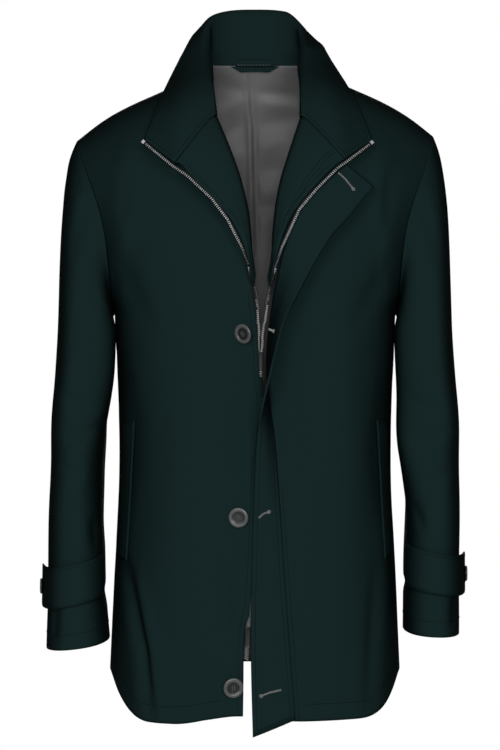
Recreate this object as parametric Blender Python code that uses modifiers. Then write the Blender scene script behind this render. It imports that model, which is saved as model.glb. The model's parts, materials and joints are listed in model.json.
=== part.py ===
"""Car coat, filled out as worn: shell panels, sleeves, rolled stand collar, lapels, flap, zip and trims.

Metres, +Z up. The front faces -Y and the wearer's right is -X. The origin is between the neck points.
Tables are in millimetres, one row for each section, and each has its columns named above it.
"""
import math

import bpy
import numpy as np
from mathutils import Vector

MM = 0.001

# Cloth and gaps
SHELL_WALL = 2.0
LAPEL_WALL = 2.6
COLLAR_WALL = 3.0
FLAP_WALL = 2.4
LINING_WALL = 1.0
TRIM_WALL = 2.2
TAPE_WALL = 1.4
SEAM_GAP = 0.4

# Torso
ARMPIT_Z = -290.0
CHEST_Z = -250.0
HEM_FRONT_Z = -775.0
HEM_SIDE_RISE = 44.0
HEM_BACK_RISE = 22.0
# Shares of the way round to the side where the hem starts and ends its rise
HEM_TURN = (0.16, 0.66)
SHOULDER_POWER = 1.1
SHOULDER_SEAM_Y = 4.0
SHOULDER_GAP = 0.7
ARMHOLE_GAP = 0.9
NECK_HALF_WIDTH = 70.0
BACK_NECK_Z = 36.0
BACK_CROWN_RISE = 42.0
LINING_GAP = 1.7
LINING_SEAM_GAP = 0.9
FOLD_FADE = 70.0
FOLD_LEAD = 0.15
FOLD_END_POWER = 0.6
PLEAT_DEPTH = 3.0
PLEAT_HALF_WIDTH = 5.0
LINING_SIDE_SHARE = 0.86
SIDE_SEAM_SHARE = 0.998
LOW_ROWS = 15
ARMPIT_ROWS = (-286.0, -280.0, -268.0)
SHOULDER_ROWS = 11
FRONT_COLUMNS = 15
BACK_COLUMNS = 19
LINING_COLUMNS = 17
BACK_SPACING_POWER = 1.3

# Height, half width, front depth, back depth, squareness of the plan
BODY_SECTIONS = (
    (-800.0, 186.0, 138.0, 132.0, 2.75),
    (-640.0, 179.0, 133.0, 125.0, 2.70),
    (-460.0, 172.0, 128.0, 117.0, 2.70),
    (-350.0, 175.0, 127.0, 114.0, 2.85),
    (-290.0, 177.0, 127.0, 113.0, 3.00),
    (-250.0, 179.0, 126.0, 112.0, 2.65),
)
# Height, half width, share of the front depth, share of the back depth, squareness of the plan
ARMHOLE = (
    (-290.0, 177.0, 0.00, 0.00, 3.00),
    (-279.0, 177.4, 0.30, 0.33, 2.90),
    (-250.0, 179.0, 0.50, 0.56, 2.65),
    (-200.0, 183.0, 0.59, 0.66, 2.60),
    (-159.0, 191.0, 0.62, 0.70, 2.60),
    (-121.0, 206.0, 0.62, 0.70, 2.60),
    (-90.0, 218.0, 0.62, 0.70, 2.60),
    (-68.0, 226.0, 0.62, 0.70, 2.60),
)
# Half width, height of the shoulder line
SHOULDER_LINE = ((0.0, 44.0), (60.0, 21.0), (107.0, 0.0), (194.0, -43.0), (228.0, -69.0))
# Height, x of the right front's free edge
RIGHT_EDGE = (
    (-800.0, -15.0), (-767.0, -14.5), (-696.0, -14.0), (-668.0, -13.5), (-630.0, -9.5), (-560.0, -5.5),
    (-462.0, -1.5), (-394.0, 1.0), (-332.0, 0.0), (-275.0, -5.0), (-250.0, -9.5),
    (-230.0, -12.0), (-204.0, -9.0), (-155.0, -14.6), (-121.0, -23.0), (-83.0, -36.5), (-44.0, -52.0),
    (0.0, -62.0), (20.0, -70.0),
)
# Height, x of the left front's edge at the flap seam and roll line
LEFT_EDGE = (
    (-800.0, 51.0), (-775.0, 49.0), (-684.0, 42.0), (-603.0, 36.0), (-521.0, 31.0), (-438.0, 25.0),
    (-408.0, 21.0), (-372.0, 17.5), (-332.0, 17.0), (-275.0, 23.5), (-250.0, 28.0),
    (-230.0, 30.0), (-207.0, 26.0), (-158.0, 29.7), (-123.0, 36.4), (-81.0, 49.7), (-45.0, 60.6),
    (0.0, 66.0), (20.0, 70.0),
)
# Top x, top z, foot x, foot z, depth and half width of the soft folds in the fronts
FRONT_FOLDS = (
    (-168.0, -585.0, -128.0, -790.0, 7.0, 16.0),
    (-160.0, -90.0, -166.0, -215.0, 6.0, 12.0),
    (-60.0, -250.0, -95.0, -560.0, 3.0, 30.0),
    (165.0, -560.0, 140.0, -790.0, 6.0, 16.0),
    (158.0, -95.0, 165.0, -215.0, 6.0, 12.0),
    (95.0, -240.0, 120.0, -520.0, 3.0, 28.0),
)
# Top x, top z, foot x, foot z, depth and half width of the soft folds in the back
BACK_FOLDS = (
    (-150.0, -120.0, -120.0, -330.0, 5.0, 18.0),
    (150.0, -120.0, 120.0, -330.0, 5.0, 18.0),
    (-70.0, -420.0, -95.0, -790.0, 5.0, 30.0),
    (60.0, -440.0, 90.0, -790.0, 5.0, 30.0),
)

# Sleeves: height, outer x, inner x, front y, back y and droop of the outer side, for each ring
SLEEVE_RIGHT = (
    (-312.0, 247.5, 184.0, -98.0, 66.0, 0.0),
    (-380.0, 252.0, 184.5, -104.0, 56.0, 1.0),
    (-450.0, 254.5, 187.0, -110.0, 42.0, 3.0),
    (-520.0, 256.0, 187.0, -116.0, 26.0, 6.0),
    (-580.0, 256.0, 185.5, -120.0, 12.0, 8.0),
    (-640.0, 256.0, 184.0, -124.0, 0.0, 8.0),
    (-667.0, 256.8, 181.5, -126.5, -5.0, 6.5),
    (-690.0, 257.0, 179.0, -128.0, -9.0, 4.5),
)
SLEEVE_LEFT = (
    (-312.0, 247.5, 184.0, -98.0, 66.0, 0.0),
    (-380.0, 252.5, 185.0, -104.0, 56.0, 1.0),
    (-450.0, 254.5, 186.0, -110.0, 42.0, 3.0),
    (-520.0, 254.5, 185.5, -116.0, 26.0, 6.0),
    (-580.0, 253.0, 184.0, -120.0, 12.0, 7.5),
    (-640.0, 252.5, 183.0, -123.0, 2.0, 5.0),
    (-676.0, 252.0, 182.5, -124.5, -2.0, 1.5),
)
SLEEVE_POWER = 2.3
# Lean of the sleeve's inner front side towards the body: lean, height it starts to fade, height it ends
SLEEVE_LEAN_RIGHT = (19.0, -370.0, -450.0)
SLEEVE_LEAN_LEFT = (19.0, -430.0, -560.0)
LEAN_PEAK = 1.8
SLEEVE_AXIS = (218.0, -40.0)
ARMHOLE_FOOT = 0.16
# Way the sleeve leaves the armhole: outward, added outward at the top, drop, added drop at the top, strength
SLEEVE_HEAD = (0.75, 0.10, 0.25, 0.55, 0.31)
SLEEVE_FLARE = 0.03
# Elbow creases: depth, wave, middle height, spread, slant; hang above the strap: depth, height, spread
ELBOW_CREASES = (3.2, 21.0, -430.0, 80.0, 60.0)
ELBOW_SIDE = 0.35
CUFF_HANG = (2.5, -540.0, 22.0)
SLEEVE_HEAD_RINGS = 6
SLEEVE_RING_POINTS = 22
# Ring points that the under sleeve's front and back seams run down, and half the room in those seams
SLEEVE_SEAMS = (10, 20)
SLEEVE_SEAM_ROOM = 0.6
SLEEVE_TUBE_RINGS = 14

# Collar sections from the back to the right front: x and y, z of the crest's inner and outer side,
# the leaf's middle and the leaf's edge. The neck seam follows the back panel.
COLLAR_BACK = (
    (0.0, (0.0, 71.0, 105.0), (0.0, 75.0, 107.5), (0.0, 79.0, 105.0), (0.0, 81.0, 100.0)),
    (-32.0, (-33.0, 67.0, 103.0), (-34.0, 71.0, 105.5), (-36.0, 75.0, 103.0), (-38.0, 77.0, 97.0)),
    (-56.0, (-58.0, 48.0, 90.0), (-61.0, 51.0, 93.0), (-66.0, 56.0, 88.0), (-73.0, 58.0, 80.0)),
    (-67.0, (-60.0, 19.0, 56.0), (-65.0, 19.0, 60.0), (-76.0, 21.0, 56.0), (-89.0, 22.0, 48.0)),
)
# The same at the shoulder, with the neck seam first
COLLAR_SHOULDER = (
    (-63.0, -14.0, 18.5), (-56.0, -11.0, 26.0), (-62.0, -13.0, 30.0), (-83.0, -9.0, 25.0),
    (-107.0, -3.0, 7.5),
)
# Collar sections at the front: x and z of the neck seam, the leaf's middle and the leaf's edge
COLLAR_FRONT_RIGHT = (
    (-56.5, -8.0, -88.0, -26.0, -120.0, -30.0),
    (-51.6, -43.0, -97.5, -104.5, -135.2, -74.5),
)
COLLAR_FRONT_LEFT = (
    (61.5, -8.0, 93.0, -26.0, 124.0, -28.0),
    (60.0, -44.5, 108.5, -99.5, 142.8, -74.5),
)
COLLAR_STATIONS = 29
ROLL_RADIUS = 3.2
COLLAR_LIFT = 7.0
COLLAR_COLUMNS = 11
# Share of the way from neck seam to leaf edge of the five marks of a section
COLLAR_MARKS = (0.0, 0.3, 0.45, 0.7, 1.0)
COLLAR_TIP_SHARE = 0.05
NECK_RISE = 0.8
NECK_SIDE_RISE = 0.7

# Lapels: roll x, roll z, zip edge x, zip edge z, lift of the edge off the front
LAPEL_RIGHT = (
    (-3.4, -238.0, -8.6, -241.0, 8.5),
    (-5.6, -224.0, -11.6, -228.0, 9.0),
    (-8.5, -206.0, -16.0, -211.0, 9.0),
    (-12.0, -172.0, -34.0, -175.0, 13.0),
    (-14.6, -155.0, -53.0, -150.0, 15.0),
    (-23.0, -121.0, -82.5, -122.0, 16.0),
    (-37.0, -82.0, -95.0, -108.5, 16.0),
    (-52.0, -45.5, -99.5, -111.0, 16.0),
)
LAPEL_LEFT = (
    (19.2, -241.0, 24.4, -243.5, 8.5),
    (22.0, -226.0, 26.8, -229.0, 10.0),
    (25.0, -209.0, 33.0, -212.0, 9.0),
    (27.0, -183.0, 42.5, -186.0, 13.0),
    (29.7, -158.0, 54.0, -163.0, 15.0),
    (36.4, -123.0, 75.0, -138.0, 16.0),
    (49.7, -81.0, 100.7, -112.0, 16.0),
    (60.6, -47.0, 111.6, -105.5, 16.0),
)
TAPE_SHOW = 6.5
TAPE_SHOW_LIMIT = 0.6
LAPEL_ROWS = 18
LAPEL_COLUMNS = 6
LAPEL_SWELL = 4.0
LAPEL_SWELL_WIDTH = 50.0
ROLL_FULL_WIDTH = 9.0
ROLL_START = 1.3

# Flap, top to hem: seam x, seam z, edge x, edge z, lift of the seam, the middle and the edge
FLAP = (
    (111.0, -107.0, 143.0, -133.0, 12.8, 14.0, 16.0),
    (97.0, -118.0, 128.0, -150.0, 12.8, 16.0, 18.0),
    (72.0, -141.0, 109.0, -173.0, 12.5, 17.0, 20.0),
    (50.0, -166.0, 90.0, -194.0, 11.5, 17.0, 21.0),
    (35.0, -214.0, 69.0, -229.0, 6.0, 15.0, 22.0),
    (27.3, -251.0, 57.0, -252.0, 0.8, 16.0, 24.0),
    (19.6, -295.0, 36.0, -294.0, 0.5, 20.0, 31.0),
    (16.2, -332.0, 25.0, -333.0, 0.5, 22.0, 35.0),
    (16.5, -372.0, 15.6, -373.0, 0.5, 21.0, 34.0),
    (20.0, -408.0, 7.0, -410.0, 0.5, 18.0, 27.0),
    (24.0, -438.0, 2.5, -440.0, 0.5, 14.0, 18.0),
    (30.0, -521.0, -1.2, -522.0, 0.5, 6.0, 6.5),
    (35.0, -603.0, -3.6, -604.0, 0.5, 3.0, 3.0),
    (41.0, -684.0, -4.8, -686.0, 0.5, 2.0, 2.4),
    (48.0, -773.0, -2.4, -793.0, 0.5, 2.0, 2.4),
)
FLAP_ROWS = 37
FLAP_COLUMNS = 6
FLAP_FLAT_Z = -560.0

# Depth of the closed zip below the front
ZIP_SINK = 2.7
# Zip halves, top to foot: x, z, width to the cloth's edge, lift of the teeth and of the cloth's edge
ZIP_RIGHT = (
    (-138.0, -78.0, 4.0, 12.0, 12.0),
    (-100.0, -110.0, 4.0, 19.0, 19.0),
    (-82.5, -122.0, 4.0, 19.6, 19.6),
    (-53.0, -150.0, 4.0, 18.8, 18.8),
    (-34.0, -175.0, 4.0, 15.0, 15.0),
    (-17.0, -209.0, 3.6, 12.0, 11.0),
    (-8.5, -231.0, 0.0, 8.0, 3.0),
    (-0.5, -256.0, -4.5, 1.0, -ZIP_SINK),
    (4.0, -285.0, -7.0, -ZIP_SINK, -ZIP_SINK),
    (5.0, -332.0, -7.0, -ZIP_SINK, -ZIP_SINK),
    (3.5, -394.0, -7.0, -ZIP_SINK, -ZIP_SINK),
    (1.0, -462.0, -7.0, -ZIP_SINK, -ZIP_SINK),
    (-3.0, -560.0, -7.0, -ZIP_SINK, -ZIP_SINK),
    (-6.5, -630.0, -7.0, -ZIP_SINK, -ZIP_SINK),
    (-9.0, -668.0, -7.0, -ZIP_SINK, -ZIP_SINK),
    (-11.0, -700.0, -7.0, -ZIP_SINK, -ZIP_SINK),
)
ZIP_LEFT = (
    (145.5, -78.0, -4.0, 12.0, 12.0),
    (112.0, -104.0, -4.0, 18.0, 18.0),
    (101.0, -112.0, -4.0, 18.0, 18.0),
    (75.0, -138.0, -4.0, 18.0, 18.0),
    (54.0, -163.0, -4.0, 17.0, 17.0),
    (33.5, -209.0, -3.6, 12.5, 11.5),
    (26.0, -231.0, 0.0, 8.0, 3.0),
    (18.5, -254.0, 4.5, 1.0, -ZIP_SINK),
    (13.5, -280.0, 7.0, -ZIP_SINK, -ZIP_SINK),
    (7.0, -332.0, 7.0, -ZIP_SINK, -ZIP_SINK),
    (4.5, -394.0, 7.0, -ZIP_SINK, -ZIP_SINK),
    (2.0, -462.0, 7.0, -ZIP_SINK, -ZIP_SINK),
    (-2.0, -560.0, 7.0, -ZIP_SINK, -ZIP_SINK),
    (-5.5, -630.0, 7.0, -ZIP_SINK, -ZIP_SINK),
    (-8.0, -668.0, 7.0, -ZIP_SINK, -ZIP_SINK),
    (-10.0, -700.0, 7.0, -ZIP_SINK, -ZIP_SINK),
)
ZIP_ROWS = 51
ZIP_COLUMNS = 3
ZIP_CLOSED_Z = -330.0

# Sliders and pull tabs: x and z of the slider's middle
SLIDER_UPPER = (6.0, -338.0)
SLIDER_LOWER = (-8.9, -668.0)
SLIDER_SIZE = (6.6, 2.6, 11.0)
PULL_SIZE = (5.6, 1.5, 22.0)
SLIDER_ROUNDING = 0.7
PULL_ROUNDING = 0.6
PULL_GAP = 0.4
PULL_DROP = 2.0

# Pocket welts: top z, foot z, front edge x at the top and at the foot, width round the side
POCKET_RIGHT = (-417.0, -590.0, -146.0, -156.0, 27.0)
POCKET_LEFT = (-417.0, -588.0, 148.0, 158.0, 25.0)
POCKET_ROWS = 9
POCKET_COLUMNS = 5
POCKET_END_SLANT = 4.0
POCKET_STEP = 0.01

# Cuff straps: height of the middle, half height
STRAP_RIGHT = (-614.0, 25.0)
STRAP_LEFT = (-600.0, 25.0)
STRAP_START = math.radians(152.0)
STRAP_END = math.radians(-14.0)
STRAP_STAND = 8.0
STRAP_SEAT = 0.8
# Share of the strap where it starts to stand off, and to narrow, and how far it narrows
STRAP_LOOSE_FROM = 0.72
STRAP_LOOSE_POWER = 1.5
STRAP_NARROW_FROM = 0.9
STRAP_NARROW = 0.12
STRAP_ROWS = 19
STRAP_COLUMNS = 4
STRAP_AXIS_Y = -60.0
CUFF_BUTTON_ANGLE = math.radians(8.0)
CUFF_BUTTON_GAP = 0.5

# Buttons: name, x, z on the right front
FRONT_BUTTONS = (
    ("button_upper", -13.0, -310.0),
    ("button_middle", -19.5, -531.0),
    ("button_lower", -26.0, -734.0),
)
BUTTON_RADIUS = 12.0
CUFF_BUTTON_RADIUS = 9.5
# Share of the radius, height above the back, in millimetres, from the middle of the face to the shank
BUTTON_PROFILE = (
    (0.0, 3.0), (0.55, 3.0), (0.66, 4.2), (0.9, 4.2), (1.0, 3.2), (0.97, 2.0), (0.7, 1.4), (0.22, 1.3),
    (0.2, 0.0), (0.0, 0.0),
)
BUTTON_GAP = 0.4
BUTTON_STEPS = 16

# Patch and loop under the back neck seam: half widths, top and foot as shares of the neck curve
PATCH_SIZE = (36.0, 20.0, 0.02, 0.10)
PATCH_WALL = 1.0
PATCH_STAND = 3.3
PATCH_DROP = 0.6
PATCH_ROWS = 4
PATCH_COLUMNS = 9
LOOP_SIZE = (24.0, 0.03, 0.065)
LOOP_WALL = 0.8
LOOP_BOW = 2.0
LOOP_GAP = 0.7
LOOP_ROWS = 3
LOOP_COLUMNS = 11

COLOURS = {
    "shell_cloth": ((0.008, 0.0185, 0.0185), 0.85, 0.0),
    "lining_satin": ((0.11, 0.11, 0.11), 0.45, 0.0),
    "zip_tape": ((0.03, 0.035, 0.035), 0.8, 0.0),
    "zip_metal": ((0.32, 0.32, 0.31), 0.35, 1.0),
    "button_horn": ((0.035, 0.038, 0.038), 0.4, 0.0),
}


def column(table, index):
    """One column of a table as an array."""
    return np.array([row[index] for row in table], float)


def smooth(knots, values, at):
    """Smooth curve through the rows of a table, read at a place between them."""
    knots = np.asarray(knots, float)
    values = np.asarray(values, float)
    if knots[0] > knots[-1]:
        knots = knots[::-1]
        values = values[::-1]
    at = min(max(at, knots[0]), knots[-1])
    low = min(int(np.searchsorted(knots, at, side="right")) - 1, len(knots) - 2)
    slopes = np.gradient(values, knots)
    span = knots[low + 1] - knots[low]
    share = (at - knots[low]) / span
    square = share * share
    cube = square * share
    start = (2 * cube - 3 * square + 1) * values[low] + (cube - 2 * square + share) * span * slopes[low]
    end = (3 * square - 2 * cube) * values[low + 1] + (cube - square) * span * slopes[low + 1]
    return start + end


def lookup(table, at, index):
    """A table's column read smoothly at a height held in its first column."""
    return smooth(column(table, 0), column(table, index), at)


def shoulder_z(x):
    """Height of the shoulder line at a half width."""
    return smooth(column(SHOULDER_LINE, 0), column(SHOULDER_LINE, 1), abs(x))


class Level:
    """One level row of the torso: its depth, side limit and plan curve."""

    def __init__(self, front, height=None, turn=None):
        self.front = front
        self.turn = turn
        depth_column = 2 if front else 3
        share_column = depth_column
        if turn is None:
            self.height = height
            self.depth = lookup(BODY_SECTIONS, height, depth_column)
            side_height = height
        else:
            self.height = None
            self.depth = lookup(BODY_SECTIONS, CHEST_Z, depth_column) * math.cos(turn) ** SHOULDER_POWER
            side_height = CHEST_Z
            for _ in range(12):
                reach = lookup(ARMHOLE, side_height, 1)
                side_height = self.rise(reach)
        if side_height <= ARMPIT_Z:
            self.reach = lookup(BODY_SECTIONS, side_height, 1)
            self.power = lookup(BODY_SECTIONS, side_height, 4)
            self.share = 0.0
        else:
            self.reach = lookup(ARMHOLE, side_height, 1)
            self.power = lookup(ARMHOLE, side_height, 4)
            self.share = max(lookup(ARMHOLE, side_height, share_column), 0.0)
        self.width = self.reach / (1.0 - self.share ** self.power) ** (1.0 / self.power)

    def rise(self, x):
        """Height of a turned row at x."""
        if self.turn is None:
            return self.height
        return CHEST_Z + (shoulder_z(x) - CHEST_Z) * math.sin(self.turn)

    def swing(self, x):
        """Angle round the plan curve at x."""
        part = min(abs(x) / self.width, 1.0)
        return math.copysign(math.asin(part ** (self.power / 2.0)), x)

    def limit(self):
        """Angle round the plan curve at the side limit."""
        return self.swing(self.reach) if self.share > 0.0 else math.pi / 2.0

    def at(self, angle):
        """Point of the row at an angle round the plan curve."""
        x = math.copysign(self.width * abs(math.sin(angle)) ** (2.0 / self.power), angle)
        y = self.depth * max(math.cos(angle), 0.0) ** (2.0 / self.power)
        if self.front:
            y = -y
        if self.turn is not None:
            seam = SHOULDER_SEAM_Y if self.front else SHOULDER_SEAM_Y + SHOULDER_GAP
            y = y + seam * math.sin(self.turn) ** 4
        return np.array([x, y, self.rise(x)])


def level_through(x, z, front):
    """The torso row that passes through x and z."""
    if z <= CHEST_Z:
        return Level(front, height=z)
    lift = (z - CHEST_Z) / (shoulder_z(x) - CHEST_Z)
    return Level(front, turn=math.asin(min(max(lift, 0.0), 1.0)))


def torso_point(x, z, front=True):
    """Point of the torso's outer face at x and z."""
    level = level_through(x, z, front)
    return level.at(level.swing(x))


def on_front(x, z, out):
    """Point in front of the torso by a distance along the view."""
    point = torso_point(x, z)
    point[1] -= out + fold_depth(FRONT_FOLDS, point)
    return point


def fold_depth(folds, point):
    """How far the soft folds move a point of the cloth, fading out at the seams."""
    x, y, z = point
    total = 0.0
    for top_x, top_z, foot_x, foot_z, depth, half_width in folds:
        along = (z - top_z) / (foot_z - top_z)
        if not -FOLD_LEAD < along < 1.0 + FOLD_LEAD:
            continue
        centre = top_x + (foot_x - top_x) * along
        fade = math.sin(math.pi * (along + FOLD_LEAD) / (1.0 + 2.0 * FOLD_LEAD)) ** FOLD_END_POWER
        total += depth * fade * math.exp(-(((x - centre) / half_width) ** 2))
    return total * min(abs(y) / FOLD_FADE, 1.0) ** 2


def hem_height(share_side, front):
    """Height of the hem at a share of the way to the side."""
    side = HEM_FRONT_Z + HEM_SIDE_RISE
    middle = HEM_FRONT_Z if front else HEM_FRONT_Z + HEM_BACK_RISE
    start, end = HEM_TURN
    share = min(max((share_side - start) / (end - start), 0.0), 1.0)
    return middle + (side - middle) * share * share * (3.0 - 2.0 * share)


def torso_rows():
    """Row keys from hem to shoulder: a share of the way up to the armpit, a height, or a turn."""
    rows = [("low", share) for share in np.linspace(0.0, 1.0, LOW_ROWS)]
    rows += [("height", z) for z in (*ARMPIT_ROWS, CHEST_Z)]
    rows += [("turn", turn) for turn in np.linspace(0.0, math.pi / 2.0, SHOULDER_ROWS)[1:]]
    return rows


def panel_point(kind, value, angle_share, front, edge):
    """Point of a torso panel: a row key and a share of the way from its edge to its side limit."""
    if kind == "turn":
        level = Level(front, turn=value)
        height = level.rise(NECK_HALF_WIDTH)
        for _ in range(6):
            height = level.rise(edge(height))
    else:
        height = value if kind == "height" else ARMPIT_Z + (HEM_FRONT_Z - ARMPIT_Z) * (1.0 - value)
        level = Level(front, height=height)
    start = level.swing(edge(height))
    angle = start + (math.copysign(level.limit(), angle_share[1]) - start) * angle_share[0]
    point = level.at(angle)
    if kind == "low":
        side = 1.0 - abs(math.cos(angle)) ** (2.0 / level.power)
        z = ARMPIT_Z + (hem_height(side, front) - ARMPIT_Z) * (1.0 - value)
        level = Level(front, height=z)
        point = level.at(angle)
    return point


def build_surface(grid, outside):
    """Open surface mesh through a grid of points, facing its outside."""
    rows, columns = grid.shape[:2]
    points = (grid * MM).reshape(-1, 3)
    faces = []
    for row in range(rows - 1):
        for place in range(columns - 1):
            base = row * columns + place
            above = base + columns
            faces.append((base, base + 1, above + 1, above))
    facing = 0.0
    for face in faces:
        corners = points[list(face)]
        normal = np.cross(corners[2] - corners[0], corners[3] - corners[1])
        facing += float(normal @ outside(corners.mean(axis=0) / MM))
    if facing < 0.0:
        faces = [face[::-1] for face in faces]
    return points.tolist(), faces


def make_wall(name, grid, wall, material, outside, outward=False):
    """Cloth piece: a surface through a grid of points, given its thickness."""
    points, faces = build_surface(np.asarray(grid, float), outside)
    mesh = bpy.data.meshes.new(name)
    mesh.from_pydata(points, [], faces)
    mesh.shade_smooth()
    piece = bpy.data.objects.new(name, mesh)
    coat.objects.link(piece)
    piece.data.materials.append(materials[material])
    shell = piece.modifiers.new("wall", "SOLIDIFY")
    shell.thickness = wall * MM
    shell.offset = 1.0 if outward else -1.0
    return piece


def away_from_axis(x, y):
    """Outside test for a tube round an upright axis."""
    return lambda centre: np.array([centre[0] - x, centre[1] - y, 0.0])


def towards(x, y, z):
    """Outside test for a piece that shows to one side."""
    return lambda centre: np.array([x, y, z])


def make_front(name, edge_table, side):
    """A front panel from its free edge or roll line to the side seam and armhole."""
    def edge(height):
        return lookup(edge_table, height, 1)

    grid = []
    for kind, value in torso_rows():
        row = []
        for share in np.linspace(0.0, SIDE_SEAM_SHARE, FRONT_COLUMNS):
            point = panel_point(kind, value, (share, side), True, edge)
            point[1] -= fold_depth(FRONT_FOLDS, point)
            row.append(point)
        grid.append(row)
    return make_wall(name, grid, SHELL_WALL, "shell_cloth", away_from_axis(0.0, 0.0))


def back_neck_z(x):
    """Height of the back neck seam."""
    share = min(abs(x) / NECK_HALF_WIDTH, 1.0)
    return BACK_NECK_Z + (shoulder_z(NECK_HALF_WIDTH) - BACK_NECK_Z) * share ** 2


def back_point(kind, value, share):
    """Point of the back panel, with the neck cut out of its top."""
    if kind != "turn":
        return panel_point(kind, value, (abs(share), share), False, lambda height: 0.0)
    level = Level(False, turn=value)
    angle = level.limit() * share
    x = level.at(angle)[0]
    inner = max(1.0 - (x / NECK_HALF_WIDTH) ** 2, 0.0)
    if inner == 0.0:
        return level.at(angle)
    crown = back_neck_z(x) + BACK_CROWN_RISE * inner
    end = math.asin((back_neck_z(x) - CHEST_Z) / (crown - CHEST_Z))
    turn = value / (math.pi / 2.0) * end
    level = Level(False, turn=turn)
    point = level.at(level.swing(x))
    point[2] = CHEST_Z + (crown - CHEST_Z) * math.sin(turn)
    return point


def spread_shares(reach, columns):
    """Shares of the way to each side, spaced evenly across the back."""
    even = np.linspace(-1.0, 1.0, columns)
    return reach * np.sign(even) * np.abs(even) ** BACK_SPACING_POWER


def make_back():
    """The back panel, side seam to side seam and hem to neck."""
    grid = []
    for kind, value in torso_rows():
        row = []
        for share in spread_shares(SIDE_SEAM_SHARE, BACK_COLUMNS):
            point = back_point(kind, value, share)
            point[1] += fold_depth(BACK_FOLDS, point)
            row.append(point)
        grid.append(row)
    grid = np.array(grid)
    grid[:, :, 1] += SEAM_GAP
    return make_wall("back", grid, SHELL_WALL, "shell_cloth", away_from_axis(0.0, 0.0))


def lining_point(kind, value, share):
    """Point of the lining's outer face, inside the back panel and close under it at the neck seam."""
    point = back_point(kind, value, share)
    close = math.sin(value) ** 12 if kind == "turn" else 0.0
    inside = SHELL_WALL + LINING_GAP + (LINING_SEAM_GAP - LINING_GAP) * close
    open_pleat = 1.0 - math.sin(value) ** 2 if kind == "turn" else 1.0
    pleat = PLEAT_DEPTH * math.exp(-((point[0] / PLEAT_HALF_WIDTH) ** 2)) * open_pleat
    point[0] *= 1.0 - inside / lookup(BODY_SECTIONS, CHEST_Z, 1)
    point[1] -= inside + pleat
    if kind == "turn":
        point[2] -= inside * math.sin(value)
    return point


def make_lining():
    """The satin back lining inside the back panel, with a soft centre pleat."""
    grid = []
    shares = spread_shares(LINING_SIDE_SHARE, LINING_COLUMNS)
    for kind, value in torso_rows()[1:13:3] + torso_rows()[14:26:2] + torso_rows()[26:]:
        grid.append([lining_point(kind, value, share) for share in shares])
    return make_wall("lining_back", grid, LINING_WALL, "lining_satin", towards(0.0, 1.0, 0.0))


def armhole_point(angle, side):
    """Point of the armhole's edge at an angle from the top, going round the front."""
    front = math.sin(angle) >= 0.0
    rise = 0.5 + 0.5 * math.cos(angle)
    if rise > ARMHOLE_FOOT:
        turn = math.asin(min((rise - ARMHOLE_FOOT) / (1.0 - ARMHOLE_FOOT), 1.0))
        level = Level(front, turn=turn)
    else:
        level = Level(front, height=ARMPIT_Z + (CHEST_Z - ARMPIT_Z) * rise / ARMHOLE_FOOT)
    point = level.at(level.limit())
    point[0] = side * (abs(point[0]) + ARMHOLE_GAP)
    if not front:
        point[1] += SEAM_GAP
    return point


def sleeve_point(table, height, angle, side):
    """Point of the sleeve's outer face at an angle from its outer side, going round the front."""
    outer, inner, front_y, back_y, droop = [lookup(table, height, index) for index in range(1, 6)]
    across = math.copysign(abs(math.cos(angle)) ** (2.0 / SLEEVE_POWER), math.cos(angle))
    along = math.copysign(abs(math.sin(angle)) ** (2.0 / SLEEVE_POWER), math.sin(angle))
    lean, fade_from, fade_to = SLEEVE_LEAN_RIGHT if side < 0.0 else SLEEVE_LEAN_LEFT
    fade = min(max((height - fade_to) / (fade_from - fade_to), 0.0), 1.0)
    lean *= fade * fade * (3.0 - 2.0 * fade) * LEAN_PEAK * max(-across, 0.0) * max(along, 0.0)
    x = (outer + inner) / 2.0 + (outer - inner) / 2.0 * across - lean
    y = (front_y + back_y) / 2.0 - (back_y - front_y) / 2.0 * along
    return np.array([side * x, y, height - droop * across])


def sleeve_creases(point, side, angle):
    """Soft creases of the hanging sleeve, at the elbow and above the strap."""
    x, y, z = point
    depth, wave, middle, spread, slant = ELBOW_CREASES
    bend = depth * math.sin((z + slant * math.cos(angle)) / wave) * math.exp(-(((z - middle) / spread) ** 2))
    hang_depth, hang_height, hang_spread = CUFF_HANG
    hang = hang_depth * math.exp(-(((z - hang_height) / hang_spread) ** 2)) * max(-math.cos(angle), 0.0)
    away = np.array([x - side * SLEEVE_AXIS[0], y - SLEEVE_AXIS[1]])
    away /= max(np.linalg.norm(away), 1.0)
    point[0] += away[0] * (bend * (ELBOW_SIDE + (1.0 - ELBOW_SIDE) * abs(math.sin(angle))) - hang)
    point[1] += away[1] * bend
    return point


def cut_strip(grid, first, last):
    """Part of a ring grid between two of its columns, each side drawn in from its seam."""
    strip = grid[:, np.arange(first, last + 1) % grid.shape[1]].copy()
    for edge, beside in ((0, 1), (-1, -2)):
        inward = strip[:, beside] - strip[:, edge]
        strip[:, edge] += inward / np.linalg.norm(inward, axis=1)[:, None] * SLEEVE_SEAM_ROOM
    return strip


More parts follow.
